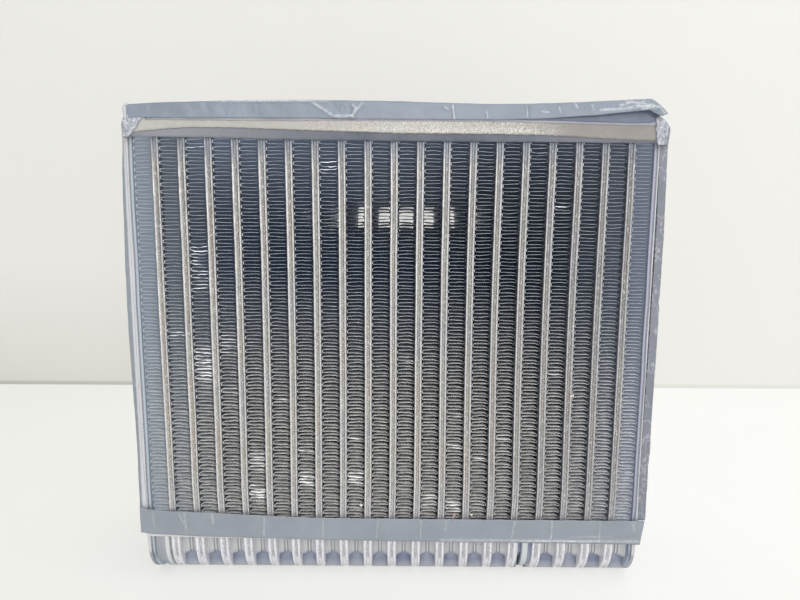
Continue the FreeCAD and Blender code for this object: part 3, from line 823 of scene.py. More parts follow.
def make_skin():
    """The sheet below the cups in every gap. The block parts one of them in two."""
    bm = bmesh.new()
    edge = TUBE_WIDTH / 2 - 0.6 * MM
    for index in range(1, len(TUBES) + 1):
        middle = tube_x(index)
        shift = read(shift_levels(middle + PITCH / 2), SHIFT_ROWS[0][0]) * MM
        ends = [middle + edge, middle + PITCH - edge]
        if middle < BLOCK_X < middle + PITCH:
            ends[1:1] = [BLOCK_X - BLOCK_HALF, BLOCK_X + BLOCK_HALF]
        for left, right in zip(ends[::2], ends[1::2]):
            add_skin(bm, left + shift, right + shift)
    bmesh.ops.recalc_face_normals(bm, faces=bm.faces)
    finish_sheet("tank_skin", bm, SKIN_METAL, SKIN_THICKNESS / MM)


def make_side_plates():
    """The two plates that close the stack, each with a wide outer rim and a thin inner one."""
    for side, node in ((-1, "side_plate_left"), (1, "side_plate_right")):
        bm = bmesh.new()
        middle = side * abs(SIDE_X)
        add_plate_body(bm, middle, SIDE_SECTIONS[side], cuts=SIDE_CUTS)
        for vert in bm.verts:
            vert.co.x += ripple(side, vert.co.y, vert.co.z, 16 * MM) * 0.16 * MM
        push(bm, middle, PITCH / 2)
        finish_piece(node + "_dressed", bm, SIDE_METAL, (node,))
    bm = bmesh.new()
    add_cups(bm, abs(SIDE_X), -1)
    push(bm, abs(SIDE_X), PITCH / 2)
    finish_piece("side_plate_right_cups", bm, CUP_METAL, ("side_plate_right",))


def make_rims():
    """The wide bright rim of the end cap, and the outlet block's pale rim and the thin strip beside it."""
    for name, middle, section in RIMS:
        bm = bmesh.new()
        add_plate_body(bm, middle, section, CUP_BASE + CUP_HEIGHT)
        push(bm, middle, PITCH / 2)
        finish_piece(name, bm, RIM_METAL)


# Fins

LEG_STEP = 1.35 * MM
CREST = 0.62 * MM
LEG_PARTS = 5
CREST_PARTS = 4
FOIL = 0.12 * MM
# the part of a fin's depth that bends at the front and at the back
FREE_EDGE = 2.2 * MM
# the reach of the stretch where the folds are even and tipped, front against back
EVEN_REACH = 12 * MM
# a stretch of bent foil: fin, height of its middle, half its height, how far its front edge drops
BENT = (
    (3, 135.0, 4.5, -0.8), (3, 125.5, 5.0, -0.55), (3, 92.0, 7.5, -0.7), (5, 38.5, 3.5, -0.7),
    (9, 45.0, 3.0, -0.6), (7, 44.0, 3.0, -0.7), (8, 169.0, 2.5, -0.8), (17, 154.0, 2.0, -0.75),
    (16, 175.0, 1.2, -0.6), (17, 89.0, 1.0, -0.5), (13, 33.0, 3.0, -0.5), (3, 176.0, 1.0, -0.6),
    (5, 52.0, 5.0, -0.4), (4, 100.0, 5.0, -0.35), (2, 104.0, 1.0, -0.6), (13, 58.5, 1.2, -0.5),
    (13, 71.4, 0.8, -0.6), (11, 94.0, 1.4, -0.6), (6, 77.5, 1.2, -0.5), (7, 56.0, 1.0, -0.5),
    (9, 61.5, 1.0, -0.5), (14, 53.4, 1.0, -0.5), (4, 81.0, 1.0, -0.5), (12, 35.0, 3.0, -0.4),
    (15, 62.0, 1.0, -0.45),
)


def walk(bm, vert, step, parts):
    """Carry a line of edges on from a vertex, in equal parts."""
    for _ in range(parts):
        vert = bmesh.ops.extrude_vert_indiv(bm, verts=[vert])["verts"][0]
        move(bm, [vert], *(Vector(step) / parts))
    return vert


def bend(bm, vert, centre, side):
    """Carry a line of edges round half a turn."""
    made = bmesh.ops.spin(bm, geom=[vert], cent=centre, axis=(0, -side, 0), angle=math.pi, steps=CREST_PARTS)
    return only(made["geom_last"], bmesh.types.BMVert)[0]


def add_fold(bm, y, z):
    """Two legs and two crests of foil, drawn as a line at one depth."""
    reach = GAP / 2 - CREST - FOIL / 2
    rise = LEG_STEP - 2 * CREST
    vert = bm.verts.new((-reach, y, z))
    for side in (1, -1):
        vert = walk(bm, vert, (2 * reach * side, 0, rise), LEG_PARTS)
        vert = bend(bm, vert, (side * reach, y, vert.co.z + CREST), side)


def settle_fin(bm, index):
    """Give a fin its uneven legs, its left crests pushed forward at the front and the knocks it has taken.
    """
    knocks = [(centre * MM, half * MM, drop * MM) for fin, centre, half, drop in BENT if fin == index]
    seed = index * SEED_STEP
    crest_x = GAP / 2 - 0.55 * MM
    # the bent attribute marks where a knock's painted highlight lies
    bent_highlight = bm.verts.layers.float.new("bent")
    for vert in bm.verts:
        x, y, z = vert.co
        across = max(0.0, 1 - (x / (GAP / 2)) ** 2)
        front = ease(-y, BACK - 4 * MM, BACK - 1.2 * MM)
        wave = ripple(seed, 0, z, 9 * MM) * 0.5 + ripple(seed + 5, 0, z, 2.6 * MM) * 0.3
        lean = ripple(seed + 9, 0, z, 8 * MM) * 0.5 * x / (GAP / 2)
        shift = (0.2 + wave * 0.7 + lean) * across * MM
        shift -= 0.4 * MM * ease(x, 0.25 * GAP, 0.5 * GAP) * (1 - ease(z, 90 * MM, 140 * MM))
        even = bump(z, CLEAR_Z, EVEN_REACH)
        shift += ripple(x * 3 + seed, 0, z, 1.7 * MM) * 0.16 * MM * across * front * (1 - 0.8 * even)
        tilt = 0.14 + (0.16 if y < 0 else -0.3) * even
        shift -= tilt * MM * ease(abs(y), BACK - 2.4 * MM, BACK - 1.2 * MM) * across
        for centre, half, drop in knocks:
            near = bump(z, centre, half)
            hump = near * (0.6 + 0.5 * ripple(seed, x * 2, z, 1.9 * MM))
            shift += drop * hump * front * across
            patch = ease(ripple(seed + 2, x * 0.5, z, 1.5 * MM), -0.3, 0.1) * ease(across, 0.1, 0.4)
            vert[bent_highlight] = max(vert[bent_highlight], min(1.0, -drop / MM * 1.3) * ease(near, 0.3, 0.6) * patch)
        vert.co.z += shift
        if x < -crest_x and front > 0.9:
            vert.co.y -= 0.6 * MM


def make_fin(index, node):
    """One strip of foil folded to and fro between two tubes."""
    bm = bmesh.new()
    low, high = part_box(node)
    folds = int((high.z - low.z) / (2 * LEG_STEP))
    add_fold(bm, low.y, low.z)
    unit = bm.verts[:] + bm.edges[:]
    for fold in range(1, folds):
        made = bmesh.ops.duplicate(bm, geom=unit)["geom"]
        move(bm, only(made, bmesh.types.BMVert), 0, 0, fold * 2 * LEG_STEP)
    bmesh.ops.remove_doubles(bm, verts=bm.verts, dist=0.02 * MM)
    line = bm.edges[:]
    for depth in (FREE_EDGE, high.y - low.y - 2 * FREE_EDGE, FREE_EDGE):
        made = bmesh.ops.extrude_edge_only(bm, edges=line)["geom"]
        move(bm, only(made, bmesh.types.BMVert), 0, depth, 0)
        line = [edge for edge in only(made, bmesh.types.BMEdge)
                if abs(edge.verts[0].co.y - edge.verts[1].co.y) < 0.01 * MM]
    bmesh.ops.solidify(bm, geom=bm.faces[:], thickness=FOIL)
    settle_fin(bm, index)
    move(bm, bm.verts, fin_x(index), 0, 0)
    top = max(vert.co.z for vert in bm.verts)
    move(bm, bm.verts, 0, 0, max(0.0, (high.z - top) * 0.5))
    push(bm, fin_x(index), PITCH / 2)
    finish_piece(node + "_dressed", bm, FIN_FOIL, (node,), angle=50, recalc=False)


# Foam and film

def sheet_grid(columns, rows):
    """A flat unit grid: X runs from 0 to 1 along it and Y from 0 to 1 across it."""
    bm = bmesh.new()
    bmesh.ops.create_grid(bm, x_segments=columns, y_segments=rows, size=0.5)
    bmesh.ops.translate(bm, verts=bm.verts, vec=(0.5, 0.5, 0))
    return bm


def at_x(x, *places):
    """Points at one place along the stack, each given as (y, z)."""
    return [Vector((x, y, z)) for y, z in places]


def at_z(z, side, *places):
    """Points at one height on the left or right, each given as (distance from the middle, y)."""
    return [Vector((side * x, y, z)) for x, y in places]


def follow(points, part):
    """The place at a share of the way along a line of points."""
    lengths = [(b - a).length for a, b in zip(points, points[1:])]
    left = part * sum(lengths)
    for a, b, length in zip(points, points[1:], lengths):
        if left <= length:
            return a.lerp(b, left / length)
        left -= length
    return points[-1].copy()


def finish_sheet(name, bm, material, thickness, nodes=(), offset=0.0):
    """Finish a shaped sheet and give it a thickness."""
    piece = finish_piece(name, bm, material, nodes, angle=60)
    shell = piece.modifiers.new("thickness", "SOLIDIFY")
    shell.thickness = thickness * MM
    shell.offset = offset
    return piece


# heights along the front edges, read off the photograph, as (place along, height) in millimetres
FILM_TOP = (
    (-98.6, 191.4), (-89.6, 192.0), (-71, 192.6), (-52.7, 193.0), (-34, 193.2), (-15.8, 193.0),
    (2.6, 192.8), (21, 192.3), (39.4, 191.9), (57.7, 192.3), (76, 193.0), (95.0, 194.0), (98.0, 191.9),
    (100.2, 189.9),
)
FILM_HEM = (
    (-98.6, 186.6), (-34, 186.6), (2.6, 186.2), (39.5, 186.2), (57.3, 186.7), (75.5, 187.8), (84.5, 188.7),
    (93.6, 189.4), (96.6, 187.9), (98.4, 187.4), (100.2, 188.3),
)
FOAM_EDGE = (
    (-97, 181.9), (-92.3, 182.4), (-84.8, 183.1), (-75.4, 183.7), (-60.6, 183.6), (-34.5, 182.8),
    (-16, 182.3), (2.6, 181.8), (39.7, 181.6), (54.6, 181.3), (69.4, 180.6), (84.3, 179.7), (95.4, 179.4),
)
LAYER_HEM = ((-96, 186.0), (-40, 185.7), (0, 185.7), (30, 185.6), (60, 185.1), (80, 184.6), (98.5, 184.3))
UNDER_HEM = (
    (30, 186.5), (45, 186.3), (60, 186.0), (68, 185.7), (80, 185.4), (90, 185.2), (95, 185.3),
    (98.5, 186.4),
)
FOAM_LOW = ((-95, 180.0), (-72.5, 179.8), (-53.7, 179.3), (-34.9, 179.0), (2.6, 178.7), (92.4, 178.3))
BAND_TOP = (
    (-102.8, 33.3), (-99, 32.0), (-89.7, 31.2), (-78.2, 30.9), (-50.5, 29.6), (-37.5, 29.0), (-20.4, 28.7),
    (102.7, 28.4),
)
BAND_LOW = (
    (-102.6, 22.4), (-99.1, 21.8), (-78.6, 20.9), (-50.8, 20.2), (-21.3, 19.7), (3.3, 19.3), (32, 19.2),
    (60.6, 19.0), (85.1, 18.9), (101.8, 18.5),
)
LEDGE_LOW = (
    (-101.4, 22.0), (-100.6, 20.7), (-99, 19.9), (-78.9, 19.5), (-50.9, 19.1), (-21.3, 18.7), (28, 18.6),
    (40, 19.6), (101.6, 19.6),
)
# how far out each side foam stands, as (height, distance from the middle)
LEFT_FOAM = (
    (22.3, 103.0), (40, 103.2), (68, 103.3), (86, 103.6), (99, 103.8), (130, 103.8), (142, 103.6),
    (155, 103.35), (169, 103.1), (178, 102.7), (184, 102.2), (186.1, 101.9), (187.8, 101.5), (190, 101.9),
    (191.6, 101.6),
)
RIGHT_FOAM = (
    (28.2, 103.2), (29.0, 103.9), (30.2, 104.2), (45, 104.2), (49, 104.1), (50.2, 103.6), (52, 104.2),
    (58.3, 104.3), (79, 104.3), (84.3, 104.4), (86.3, 104.2), (87.2, 103.5), (88.6, 104.2), (103, 104.3),
    (115.6, 104.3), (117.5, 103.4), (119.5, 103.5), (121, 103.8), (142, 103.9), (161, 103.7),
    (177.7, 103.4), (184.3, 103.6), (186.1, 102.3),
)
# film creases: place and height at both ends, depth towards the viewer and width, in millimetres; each also
# carries a painted highlight
FILM_CREASES = (
    (-29.5, 192.0, -21.3, 187.0, 0.5, 0.5), (-11.4, 192.0, -15.4, 187.2, 0.55, 0.5),
    (-21.3, 187.2, -14.8, 187.4, 0.8, 0.6), (-15.0, 191.4, -13.4, 190.0, 0.8, 0.35),
    (-13.4, 190.0, -14.6, 188.8, 0.7, 0.35), (22.0, 191.4, 22.6, 186.5, 0.7, 0.35),
    (19.0, 190.6, 20.0, 190.0, 0.5, 0.35), (34.4, 188.9, 35.0, 186.6, 0.5, 0.4),
    (49.2, 190.8, 49.6, 187.0, 0.5, 0.3), (54.5, 189.2, 57.5, 188.8, 0.4, 0.35),
    (61.0, 190.6, 61.8, 188.4, 0.45, 0.35), (67.0, 191.8, 67.8, 190.4, 0.45, 0.35),
    (73.0, 191.6, 73.6, 189.6, 0.4, 0.35), (83.0, 191.2, 87.5, 192.4, 0.6, 0.45),
    (85.0, 192.6, 92.0, 191.6, 0.7, 0.4), (88.0, 190.4, 91.5, 192.8, 0.6, 0.4),
    (90.5, 189.8, 97.5, 190.8, 0.9, 0.5), (97.5, 190.8, 99.0, 188.4, 0.9, 0.4),
    (-66.0, 192.6, -24.0, 192.9, 0.6, 0.3), (76.0, 189.5, 90.0, 190.5, 0.5, 0.5),
    (86.0, 190.2, 94.5, 191.0, 0.9, 0.7), (88.5, 190.6, 95.0, 190.6, 0.9, 0.7),
)
# band creases, as for the film, each with a painted highlight; the long level ones are painted highlights
# near the lower edge
BAND_CREASES = (
    (-97.4, 30.5, -97.2, 24, 0.22, 0.3), (-84.9, 30.6, -84.0, 22, 0.35, 0.25),
    (-87.0, 30.0, -85.0, 26, 0.25, 0.3), (-73.4, 30.4, -73.0, 26, 0.3, 0.35),
    (-52.2, 29.2, -52.4, 21, 0.4, 0.3), (-28.1, 28.5, -28.3, 20.5, 0.2, 0.3),
    (-5.7, 28.0, -6.4, 20.5, 0.28, 0.25), (11.8, 28.0, 11.7, 20, 0.3, 0.25),
    (22.0, 28.0, 21.8, 24, 0.25, 0.3), (50.1, 28.0, 48.6, 20, 0.3, 0.25),
    (65.2, 28.2, 64.9, 19.6, 0.4, 0.25), (84.7, 28.0, 84.6, 20, 0.25, 0.25),
    (97.8, 28.0, 98.8, 24, 0.4, 0.3), (20.0, 19.6, 100.5, 19.6, 0.5, 0.4),
    (72.0, 21.3, 90.0, 21.7, 0.2, 0.3),
)


def crease_at(x, z, creases):
    """How far towards the viewer the creases push a point, and how strong a painted highlight they give it.
    """
    total = shine = 0.0
    place = Vector((x / MM, z / MM))
    for start_x, start_z, end_x, end_z, depth, width in creases:
        if abs(place.x - start_x) < 4 * width + abs(start_x - end_x):
            share = crease(place, Vector((start_x, start_z)), Vector((end_x, end_z)), width)
            total += depth * share
            shine = max(shine, share ** 2 * min(1.0, abs(depth) * 1.6))
    return total * MM, shine


def loose(x):
    """How far the film's flap has lifted: from 0 in the middle to 1 at the right end."""
    return ease(x, 40 * MM, 96 * MM)


FACE_Y = FRONT - 3.4 * MM


def make_top_film():
    """The film over the top foam. Its front is creased, and at the right it is loose and curled."""
    left, right = FILM_TOP[0][0] * MM, FILM_TOP[-1][0] * MM
    bm = sheet_grid(560, 20)
    # the crease attribute carries the painted highlight on the creases
    shine = bm.verts.layers.float.new("crease")
    for vert in bm.verts:
        x = left + vert.co.x * (right - left)
        top = read(FILM_TOP, x / MM) * MM + ripple(x, 1, 0, 9 * MM) * 0.15 * MM
        hem = read(FILM_HEM, x / MM) * MM + ripple(x, 3, 0, 6 * MM) * 0.12 * MM
        out = 2.4 * MM * loose(x)
        line = at_x(x, (FACE_Y + 3.2 * MM, top - 0.15 * MM), (FACE_Y + 0.7 * MM, top),
                    (FACE_Y + 0.15 * MM - out * 0.2, top - 0.15 * MM), (FACE_Y - out * 0.3, top - 0.6 * MM),
                    (FACE_Y - 0.1 * MM - out, hem))
        place = follow(line, vert.co.y)
        near = ease(-place.y, 32 * MM, 34 * MM)
        raised, vert[shine] = crease_at(x, place.z, FILM_CREASES)
        place.y -= raised * near
        rough = 0.1 + 0.35 * bump(x, 89 * MM, 6 * MM) + 0.3 * bump(x, -18 * MM, 5 * MM)
        waves = ripple(x, place.z, 4, 5 * MM) * 0.25 + abs(ripple(x, place.z, 9, 2 * MM)) * rough
        place.y -= waves * MM * near
        vert.co = place
    finish_sheet("top_film_front", bm, FILM, 0.2, ("top_film",))
    bm = sheet_grid(120, 60)
    for vert in bm.verts:
        x = left - 1.8 * MM + vert.co.x * (right - left + 1.2 * MM)
        top = min(read(FILM_TOP, x / MM), 193.6) * MM - 0.25 * MM
        back = -FACE_Y - 0.2 * MM
        line = at_x(x, (FACE_Y + 0.9 * MM, top), (0, 192.6 * MM), (back - 0.6 * MM, 192.4 * MM),
                    (back, 191.8 * MM), (back, 187 * MM))
        place = follow(line, vert.co.y)
        place.z += ripple(x, place.y, 0, 17 * MM) * 0.3 * MM + abs(ripple(x, place.y, 5, 7 * MM)) * 0.25 * MM
        place.z -= 1.8 * MM * ease(-x, 98.6 * MM, 100.6 * MM) * ease(place.z, 186 * MM, 190 * MM)
        vert.co = place
    finish_sheet("top_film_over", bm, FILM, 0.2)
    for name, material, start, end, depth in (
        ("top_film_inner_layer", UNDER_FILM, 30, 98.5, 0.12),
        ("top_film_lower_layer", LOWER_FILM, -92, 97.5, 0.24),
    ):
        bm = sheet_grid(200, 8)
        for vert in bm.verts:
            x = (start + vert.co.x * (end - start)) * MM
            low, high = (read(UNDER_HEM, x / MM), 191.2) if start > 0 else (read(LAYER_HEM, x / MM), 187.0)
            low += ripple(x, 0, start, 6 * MM) * 0.15
            z = (low + vert.co.y * (high - low)) * MM
            vert.co = Vector((x, FACE_Y + depth * MM - ripple(x, z, 0, 4 * MM) * 0.12 * MM, z))
        finish_sheet(name, bm, material, 0.12)


def make_top_foam():
    """The front of the foam bar over the top: a beige cut face, and the grey slope below it."""
    for name, material, rows in (("top_foam_slope", SLOPE_FOAM, 10), ("top_foam_face", BEIGE_FOAM, 12)):
        bm = sheet_grid(560, rows)
        for vert in bm.verts:
            x = (-98.5 + vert.co.x * 197.5) * MM
            edge = read(FOAM_EDGE, x / MM) * MM + ripple(x, 0, 11, 2.2 * MM) * 0.14 * MM
            low = read(FOAM_LOW, x / MM) * MM + ripple(x, 0, 13, 3.5 * MM) * 0.12 * MM
            if rows == 10:
                line = at_x(x, (FRONT + 0.4 * MM, low + 0.8 * MM), (FRONT - 0.9 * MM, low),
                            (FRONT - 1.5 * MM, low + 0.3 * MM), (FRONT - 2.4 * MM, edge))
            else:
                line = at_x(x, (FRONT - 2.3 * MM, edge - 0.15 * MM), (FRONT - 2.6 * MM, edge + 0.25 * MM),
                            (FRONT - 2.6 * MM, 187.2 * MM))
            place = follow(line, vert.co.y)
            middle = ease(x, -45 * MM, -5 * MM) * (1 - ease(x, 50 * MM, 62 * MM))
            place.y -= ripple(x, place.z, 7, 0.9 * MM) * (0.06 + 0.16 * middle) * MM
            vert.co = place
        finish_sheet(name, bm, material, 0.4, ("top_foam",) if rows == 12 else (), -1.0)


def make_front_band():
    """The film stuck across the front just above the tank, out of level and creased."""
    low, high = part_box("front_film_band")
    bm = sheet_grid(640, 20)
    # the crease attribute carries the painted highlight on the creases
    shine = bm.verts.layers.float.new("crease")
    for vert in bm.verts:
        along, up = vert.co.x, vert.co.y
        x = low.x - 0.3 * MM + along * (high.x - low.x + 0.6 * MM - 1.5 * MM * (1 - up))
        bottom = (read(BAND_LOW, x / MM) - 0.35) * MM + ripple(x, 0, 2, 8 * MM) * 0.08 * MM
        waves = ripple(x, 0, 5, 1.6 * MM) * 0.2 + ripple(x, 0, 8, 7 * MM) * 0.2
        top = read(BAND_TOP, x / MM) * MM + waves * MM
        z = bottom + up * (top - bottom)
        raised, vert[shine] = crease_at(x, z, BAND_CREASES)
        y = low.y + 0.25 * MM + ripple(x, 0, z, 12 * MM) * 0.15 * MM - raised
        vert.co = Vector((x, y, z))
    finish_sheet("front_band_dressed", bm, BAND_FILM, 0.25, ("front_film_band",))
    low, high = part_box("front_foam_strip")
    bm = sheet_grid(260, 8)
    for vert in bm.verts:
        x = low.x + vert.co.x * (high.x - low.x)
        base = read(LEDGE_LOW, x / MM) * MM + ripple(x, 0, 4, 3 * MM) * 0.08 * MM
        line = at_x(x, (high.y, base), (low.y + 0.35 * MM, base), (low.y, base + 0.35 * MM), (low.y, high.z))
        vert.co = follow(line, vert.co.y)
    finish_sheet("front_strip_dressed", bm, CREAM_FOAM, 0.5, ("front_foam_strip",), -1.0)


# flakes: name, material, place, size and turn
CHIPS = (
    ("pink_flake", PINK_CHIP, (25.3, 29.4), (0.7, 2.4), 25),
    ("pale_flake", PALE_CHIP, (71.4, 80.4), (1.4, 0.9), -20),
    ("white_flake", PALE_CHIP, (-12.6, 33.9), (1.1, 0.9), 30),
    ("small_flake", PALE_CHIP, (32.5, 30.0), (0.8, 0.7), 0),
)


def make_chips():
    """Small flakes caught on the fins."""
    for name, material, (x, z), (wide, tall), turn in CHIPS:
        bm = sheet_grid(8, 8)
        bmesh.ops.translate(bm, verts=bm.verts, vec=(-0.5, -0.5, 0))
        bmesh.ops.scale(bm, verts=bm.verts, vec=(wide * MM, tall * MM, 1))
        for angle, axis in ((math.pi / 2, "X"), (math.radians(turn), "Y")):
            bmesh.ops.rotate(bm, verts=bm.verts, cent=(0, 0, 0), matrix=Matrix.Rotation(angle, 3, axis))
        for vert in bm.verts:
            vert.co.y += ripple(vert.co.x, x, vert.co.z, 0.8 * MM) * 0.4 * MM
        bmesh.ops.translate(bm, verts=bm.verts, vec=(x * MM, FRONT - 0.25 * MM, z * MM))
        finish_sheet(name, bm, material, 0.15)


def make_side_foam(node, side, table, inner, base, top, material):
    """A foam sheet in film on a side plate. Its front edge shows beside the plate's rim."""
    low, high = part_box(node)
    bm = sheet_grid(220, 44)
    for vert in bm.verts:
        z = base * MM + vert.co.x * (top - base) * MM
        out = read(table, z / MM) * MM
        ragged = 0.35 if side > 0 else 0.08
        torn = ripple(0, side, z, 1.2 * MM) * ragged * MM * ease(-0.2, -1, 1)
        out += torn + ripple(2, side, z, 9 * MM) * 0.12 * MM
        near = read(inner, z / MM) * MM
        front, back = low.y - 0.15 * MM, high.y
        line = at_z(z, side, (near, front + 0.5 * MM), (near + 0.5 * MM, front + 0.05 * MM),
                    (out - 0.35 * MM, front), (out, front + 0.35 * MM), (out, back - 0.35 * MM),
                    (out - 0.35 * MM, back), (101.7 * MM, back), (101.7 * MM, front + 0.9 * MM),
                    (near, front + 0.62 * MM))
        place = follow(line, vert.co.y)
        skin = abs(ripple(place.x, place.y, z, 4 * MM)) * 0.22 * MM
        if place.y < front + 0.2 * MM:
            place.y -= skin
        elif abs(place.x) > 102 * MM:
            place.x += side * skin * 0.5
        vert.co = place
    bmesh.ops.remove_doubles(bm, verts=bm.verts, dist=0.01 * MM)
    bmesh.ops.holes_fill(bm, edges=[edge for edge in bm.edges if edge.is_boundary], sides=0)
    finish_piece(node + "_dressed", bm, material, (node,), angle=50)


def make_corner_film(name, side, inner, outer_edge, base, top, material):
    """Film gathered in crinkles round an upper corner."""
    bm = sheet_grid(56, 44)
    for vert in bm.verts:
        z = (base + vert.co.y * (top - base)) * MM
        out = read(outer_edge, z / MM) * MM
        face = FACE_Y - 0.1 * MM
        near = read(inner, z / MM) * MM + ripple(0, z, 3, 1.6 * MM) * 0.5 * MM
        line = at_z(z, side, (near, face), (out - 0.8 * MM, face + 0.1 * MM), (out, face + 0.9 * MM),
                    (out, face + 12 * MM))
        place = follow(line, vert.co.x)
        coarse, fine = (abs(ripple(place.x, place.y, z, size * MM)) for size in (2.0, 0.9))
        fold = coarse + fine * 0.45
        if place.y < face + 0.5 * MM:
            place.y -= (fold - 0.35) * 0.7 * MM
        else:
            place.x += side * (fold - 0.3) * 0.25 * MM
        vert.co = place
    finish_sheet(name, bm, material, 0.15)


# Studio

# how much of the floor's brightness the camera sees without its shadows
FLOOR_LIFT = 0.66


STAGE_ROUGHNESS = 0.9
# half the width of the floor and of the wall, and how far behind the middle the wall stands, in metres
STAGE_SIZE = 3.0
WALL_Y = 0.266
# lamps: name, place, width and power
LAMPS = (("top", (0.5, -0.3, 1.3), 1.3, 6.5), ("front", (0.1, -1.5, 0.75), 1.3, 13.0))
LAMP_AIM = Vector((0, 0, 0.1))
SKY_STRENGTH = 0.55
# the camera's pitch, yaw and roll in degrees, its place, and its sensor and lens in millimetres
CAMERA_ANGLES = (7.62, 0.3, 0.255)
CAMERA_PLACE = (4.1 * MM, FRONT - 233.53 * MM, 149.7 * MM)
SENSOR = 36
LENS = 604 / 800 * SENSOR


def blend(finish, share, second):
    """Show a second shader in place of a finish's own, by a share."""
    mixed = finish.add("MixShader", ((0, share), (1, finish.shader.outputs[0]), (2, second)))
    finish.plug(mixed, finish.tree.nodes["Material Output"].inputs["Surface"])
    return finish.material


def wall_material():
    """The pale wall: painted shade greyer towards the lower left and darker at its foot, and see-through
    from behind.
    """
    finish = Finish("wall", STAGE_ROUGHNESS)
    place = finish.use(PLACE)
    # painted shade: greyer towards the lower left, and darker still at the foot where the wall meets the
    # floor
    left = finish.span(place["Along"], 0.25, -0.4)
    low = finish.times(left, finish.span(place["Height"], 0.11, 0.0))
    grey = finish.mix(finish.times(low, 0.7), (232, 231, 228), (208, 207, 199))
    foot = finish.mix(left, (222, 222, 216), (186, 184, 178))
    finish.set("Base Color", finish.mix(finish.fade(place["Height"], 4.5, 2.0), grey, foot))
    return blend(finish, finish.add("NewGeometry", output="Backfacing"), finish.add("BsdfTransparent"))


def floor_material():
    """The white floor. The camera sees it a little brighter than it is lit."""
    finish = Finish("floor", STAGE_ROUGHNESS)
    finish.set("Base Color", (252, 252, 248))
    finish.material.cycles.emission_sampling = "NONE"
    # painted shade: the glow the camera sees is darker towards the left
    pale = finish.mix(finish.span(finish.use(PLACE)["Along"], -0.3, 0.1), (236, 236, 231), (251, 251, 248))
    seen = finish.times(finish.add("LightPath", output="Is Camera Ray"), FLOOR_LIFT)
    return blend(finish, seen, finish.add("Emission", (("Color", pale),)))


def make_studio():
    """A white floor, a pale wall behind the part and soft light from above and in front."""
    for name, turn, place, material in (
        ("floor", 0.0, (0, 0, 0), floor_material()),
        ("wall", math.pi / 2, (0, WALL_Y, STAGE_SIZE), wall_material()),
    ):
        bm = bmesh.new()
        bmesh.ops.create_grid(bm, x_segments=1, y_segments=1, size=STAGE_SIZE)
        bmesh.ops.rotate(bm, verts=bm.verts, cent=(0, 0, 0), matrix=Matrix.Rotation(turn, 3, "X"))
        move(bm, bm.verts, *place)
        mesh = bpy.data.meshes.new(name)
        bm.to_mesh(mesh)
        bm.free()
        mesh.materials.append(material)
        piece = bpy.data.objects.new(name, mesh)
        bpy.context.collection.objects.link(piece)
    for name, place, size, power in LAMPS:
        light = bpy.data.lights.new(name, "AREA")
        light.shape = "SQUARE"
        light.size = size
        light.energy = power
        lamp = bpy.data.objects.new(name, light)
        lamp.location = place
        lamp.rotation_euler = (LAMP_AIM - Vector(place)).to_track_quat("-Z", "Y").to_euler()
        bpy.context.collection.objects.link(lamp)
    world = bpy.data.worlds.new("studio")
    world.use_nodes = True
    ground = world.node_tree.nodes["Background"]
    ground.inputs["Color"].default_value = tone(240, 240, 240)
    ground.inputs["Strength"].default_value = SKY_STRENGTH
    bpy.context.scene.world = world


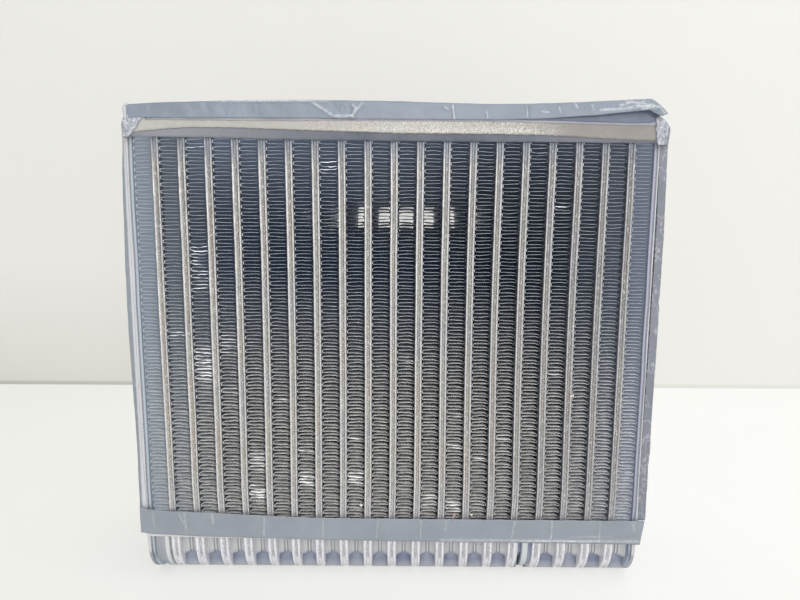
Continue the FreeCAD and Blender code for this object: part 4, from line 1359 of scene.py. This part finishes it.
def make_camera():
    """The camera that took the photograph, fitted to the tubes' places in it."""
    pitch, yaw, roll = (math.radians(angle) for angle in CAMERA_ANGLES)
    forward = Vector((-math.sin(yaw) * math.cos(pitch), math.cos(yaw) * math.cos(pitch), -math.sin(pitch)))
    right = Vector((math.cos(yaw), math.sin(yaw), 0))
    up = right.cross(forward)
    turned_right = right * math.cos(roll) + up * math.sin(roll)
    turned_up = up * math.cos(roll) - right * math.sin(roll)
    data = bpy.data.cameras.new("camera")
    data.sensor_width = SENSOR
    data.lens = LENS
    data.clip_start = 0.01
    camera = bpy.data.objects.new("camera", data)
    turn = Matrix((turned_right, turned_up, -forward)).transposed()
    camera.matrix_world = Matrix.Translation(CAMERA_PLACE) @ turn.to_4x4()
    bpy.context.collection.objects.link(camera)
    bpy.context.scene.camera = camera


make_tubes()
make_skin()
for index, node in enumerate(FINS, start=1):
    make_fin(index, node)
make_side_plates()
make_rims()
make_top_film()
make_top_foam()
make_front_band()
make_chips()
LEFT_INNER = ((22, 100.4), (38, 100.6), (49, 101.0), (57, 101.3), (84, 101.3), (146, 101.3), (160, 101.2),
              (192, 101.2))
RIGHT_INNER = ((28, 100.5), (45, 100.2), (90, 100.7), (147, 101.0), (156, 100.8), (176, 100.5), (190, 100.5))
make_side_foam("side_foam_left", -1, LEFT_FOAM, LEFT_INNER, 22.6, 190.0, SIDE_FILM)
make_side_foam("side_foam_right", 1, RIGHT_FOAM, RIGHT_INNER, 28.2, 184, RIGHT_FILM)
LEFT_CORNER = (
    (179.5, 101.1), (182, 101.1), (184.4, 101.15), (186.4, 100.5), (187.5, 100.1), (188.7, 100.45),
    (190, 100.6), (190.9, 100.4), (191.5, 99.8), (191.9, 98.9),
)
RIGHT_CORNER = ((177.4, 102.4), (179, 102.5), (182, 102.8), (183.7, 102.75), (185.5, 101.7), (186.6, 100.6),
                (187.6, 99.2), (188.4, 97.9))
make_corner_film("corner_film_left", -1, ((179, 98.8), (183, 95.6), (187, 92.8)), LEFT_CORNER, 179.7, 187.0,
                 CORNER_FILM)
make_corner_film("corner_fold_left", -1, ((186, 98.2), (192, 97.8)), LEFT_CORNER, 186.4, 191.9, SIDE_FILM)
make_corner_film("corner_film_right", 1, ((177, 98.4), (180, 97.6), (188, 97.0)), RIGHT_CORNER, 177.4,
                 188.2, CORNER_FILM)

for node, material in (
    ("rear_foam_strip", GREY_FOAM), ("end_cap_left", WEB_METAL), ("outlet_block", SKIN_METAL),
    ("inlet_pipe", PIPE_METAL), ("outlet_pipe", PIPE_METAL), ("top_foam", GREY_FOAM),
):
    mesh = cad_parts[node].data
    mesh.materials.clear()
    mesh.materials.append(material)

make_studio()
make_camera()
bpy.context.scene.view_settings.view_transform = "Standard"
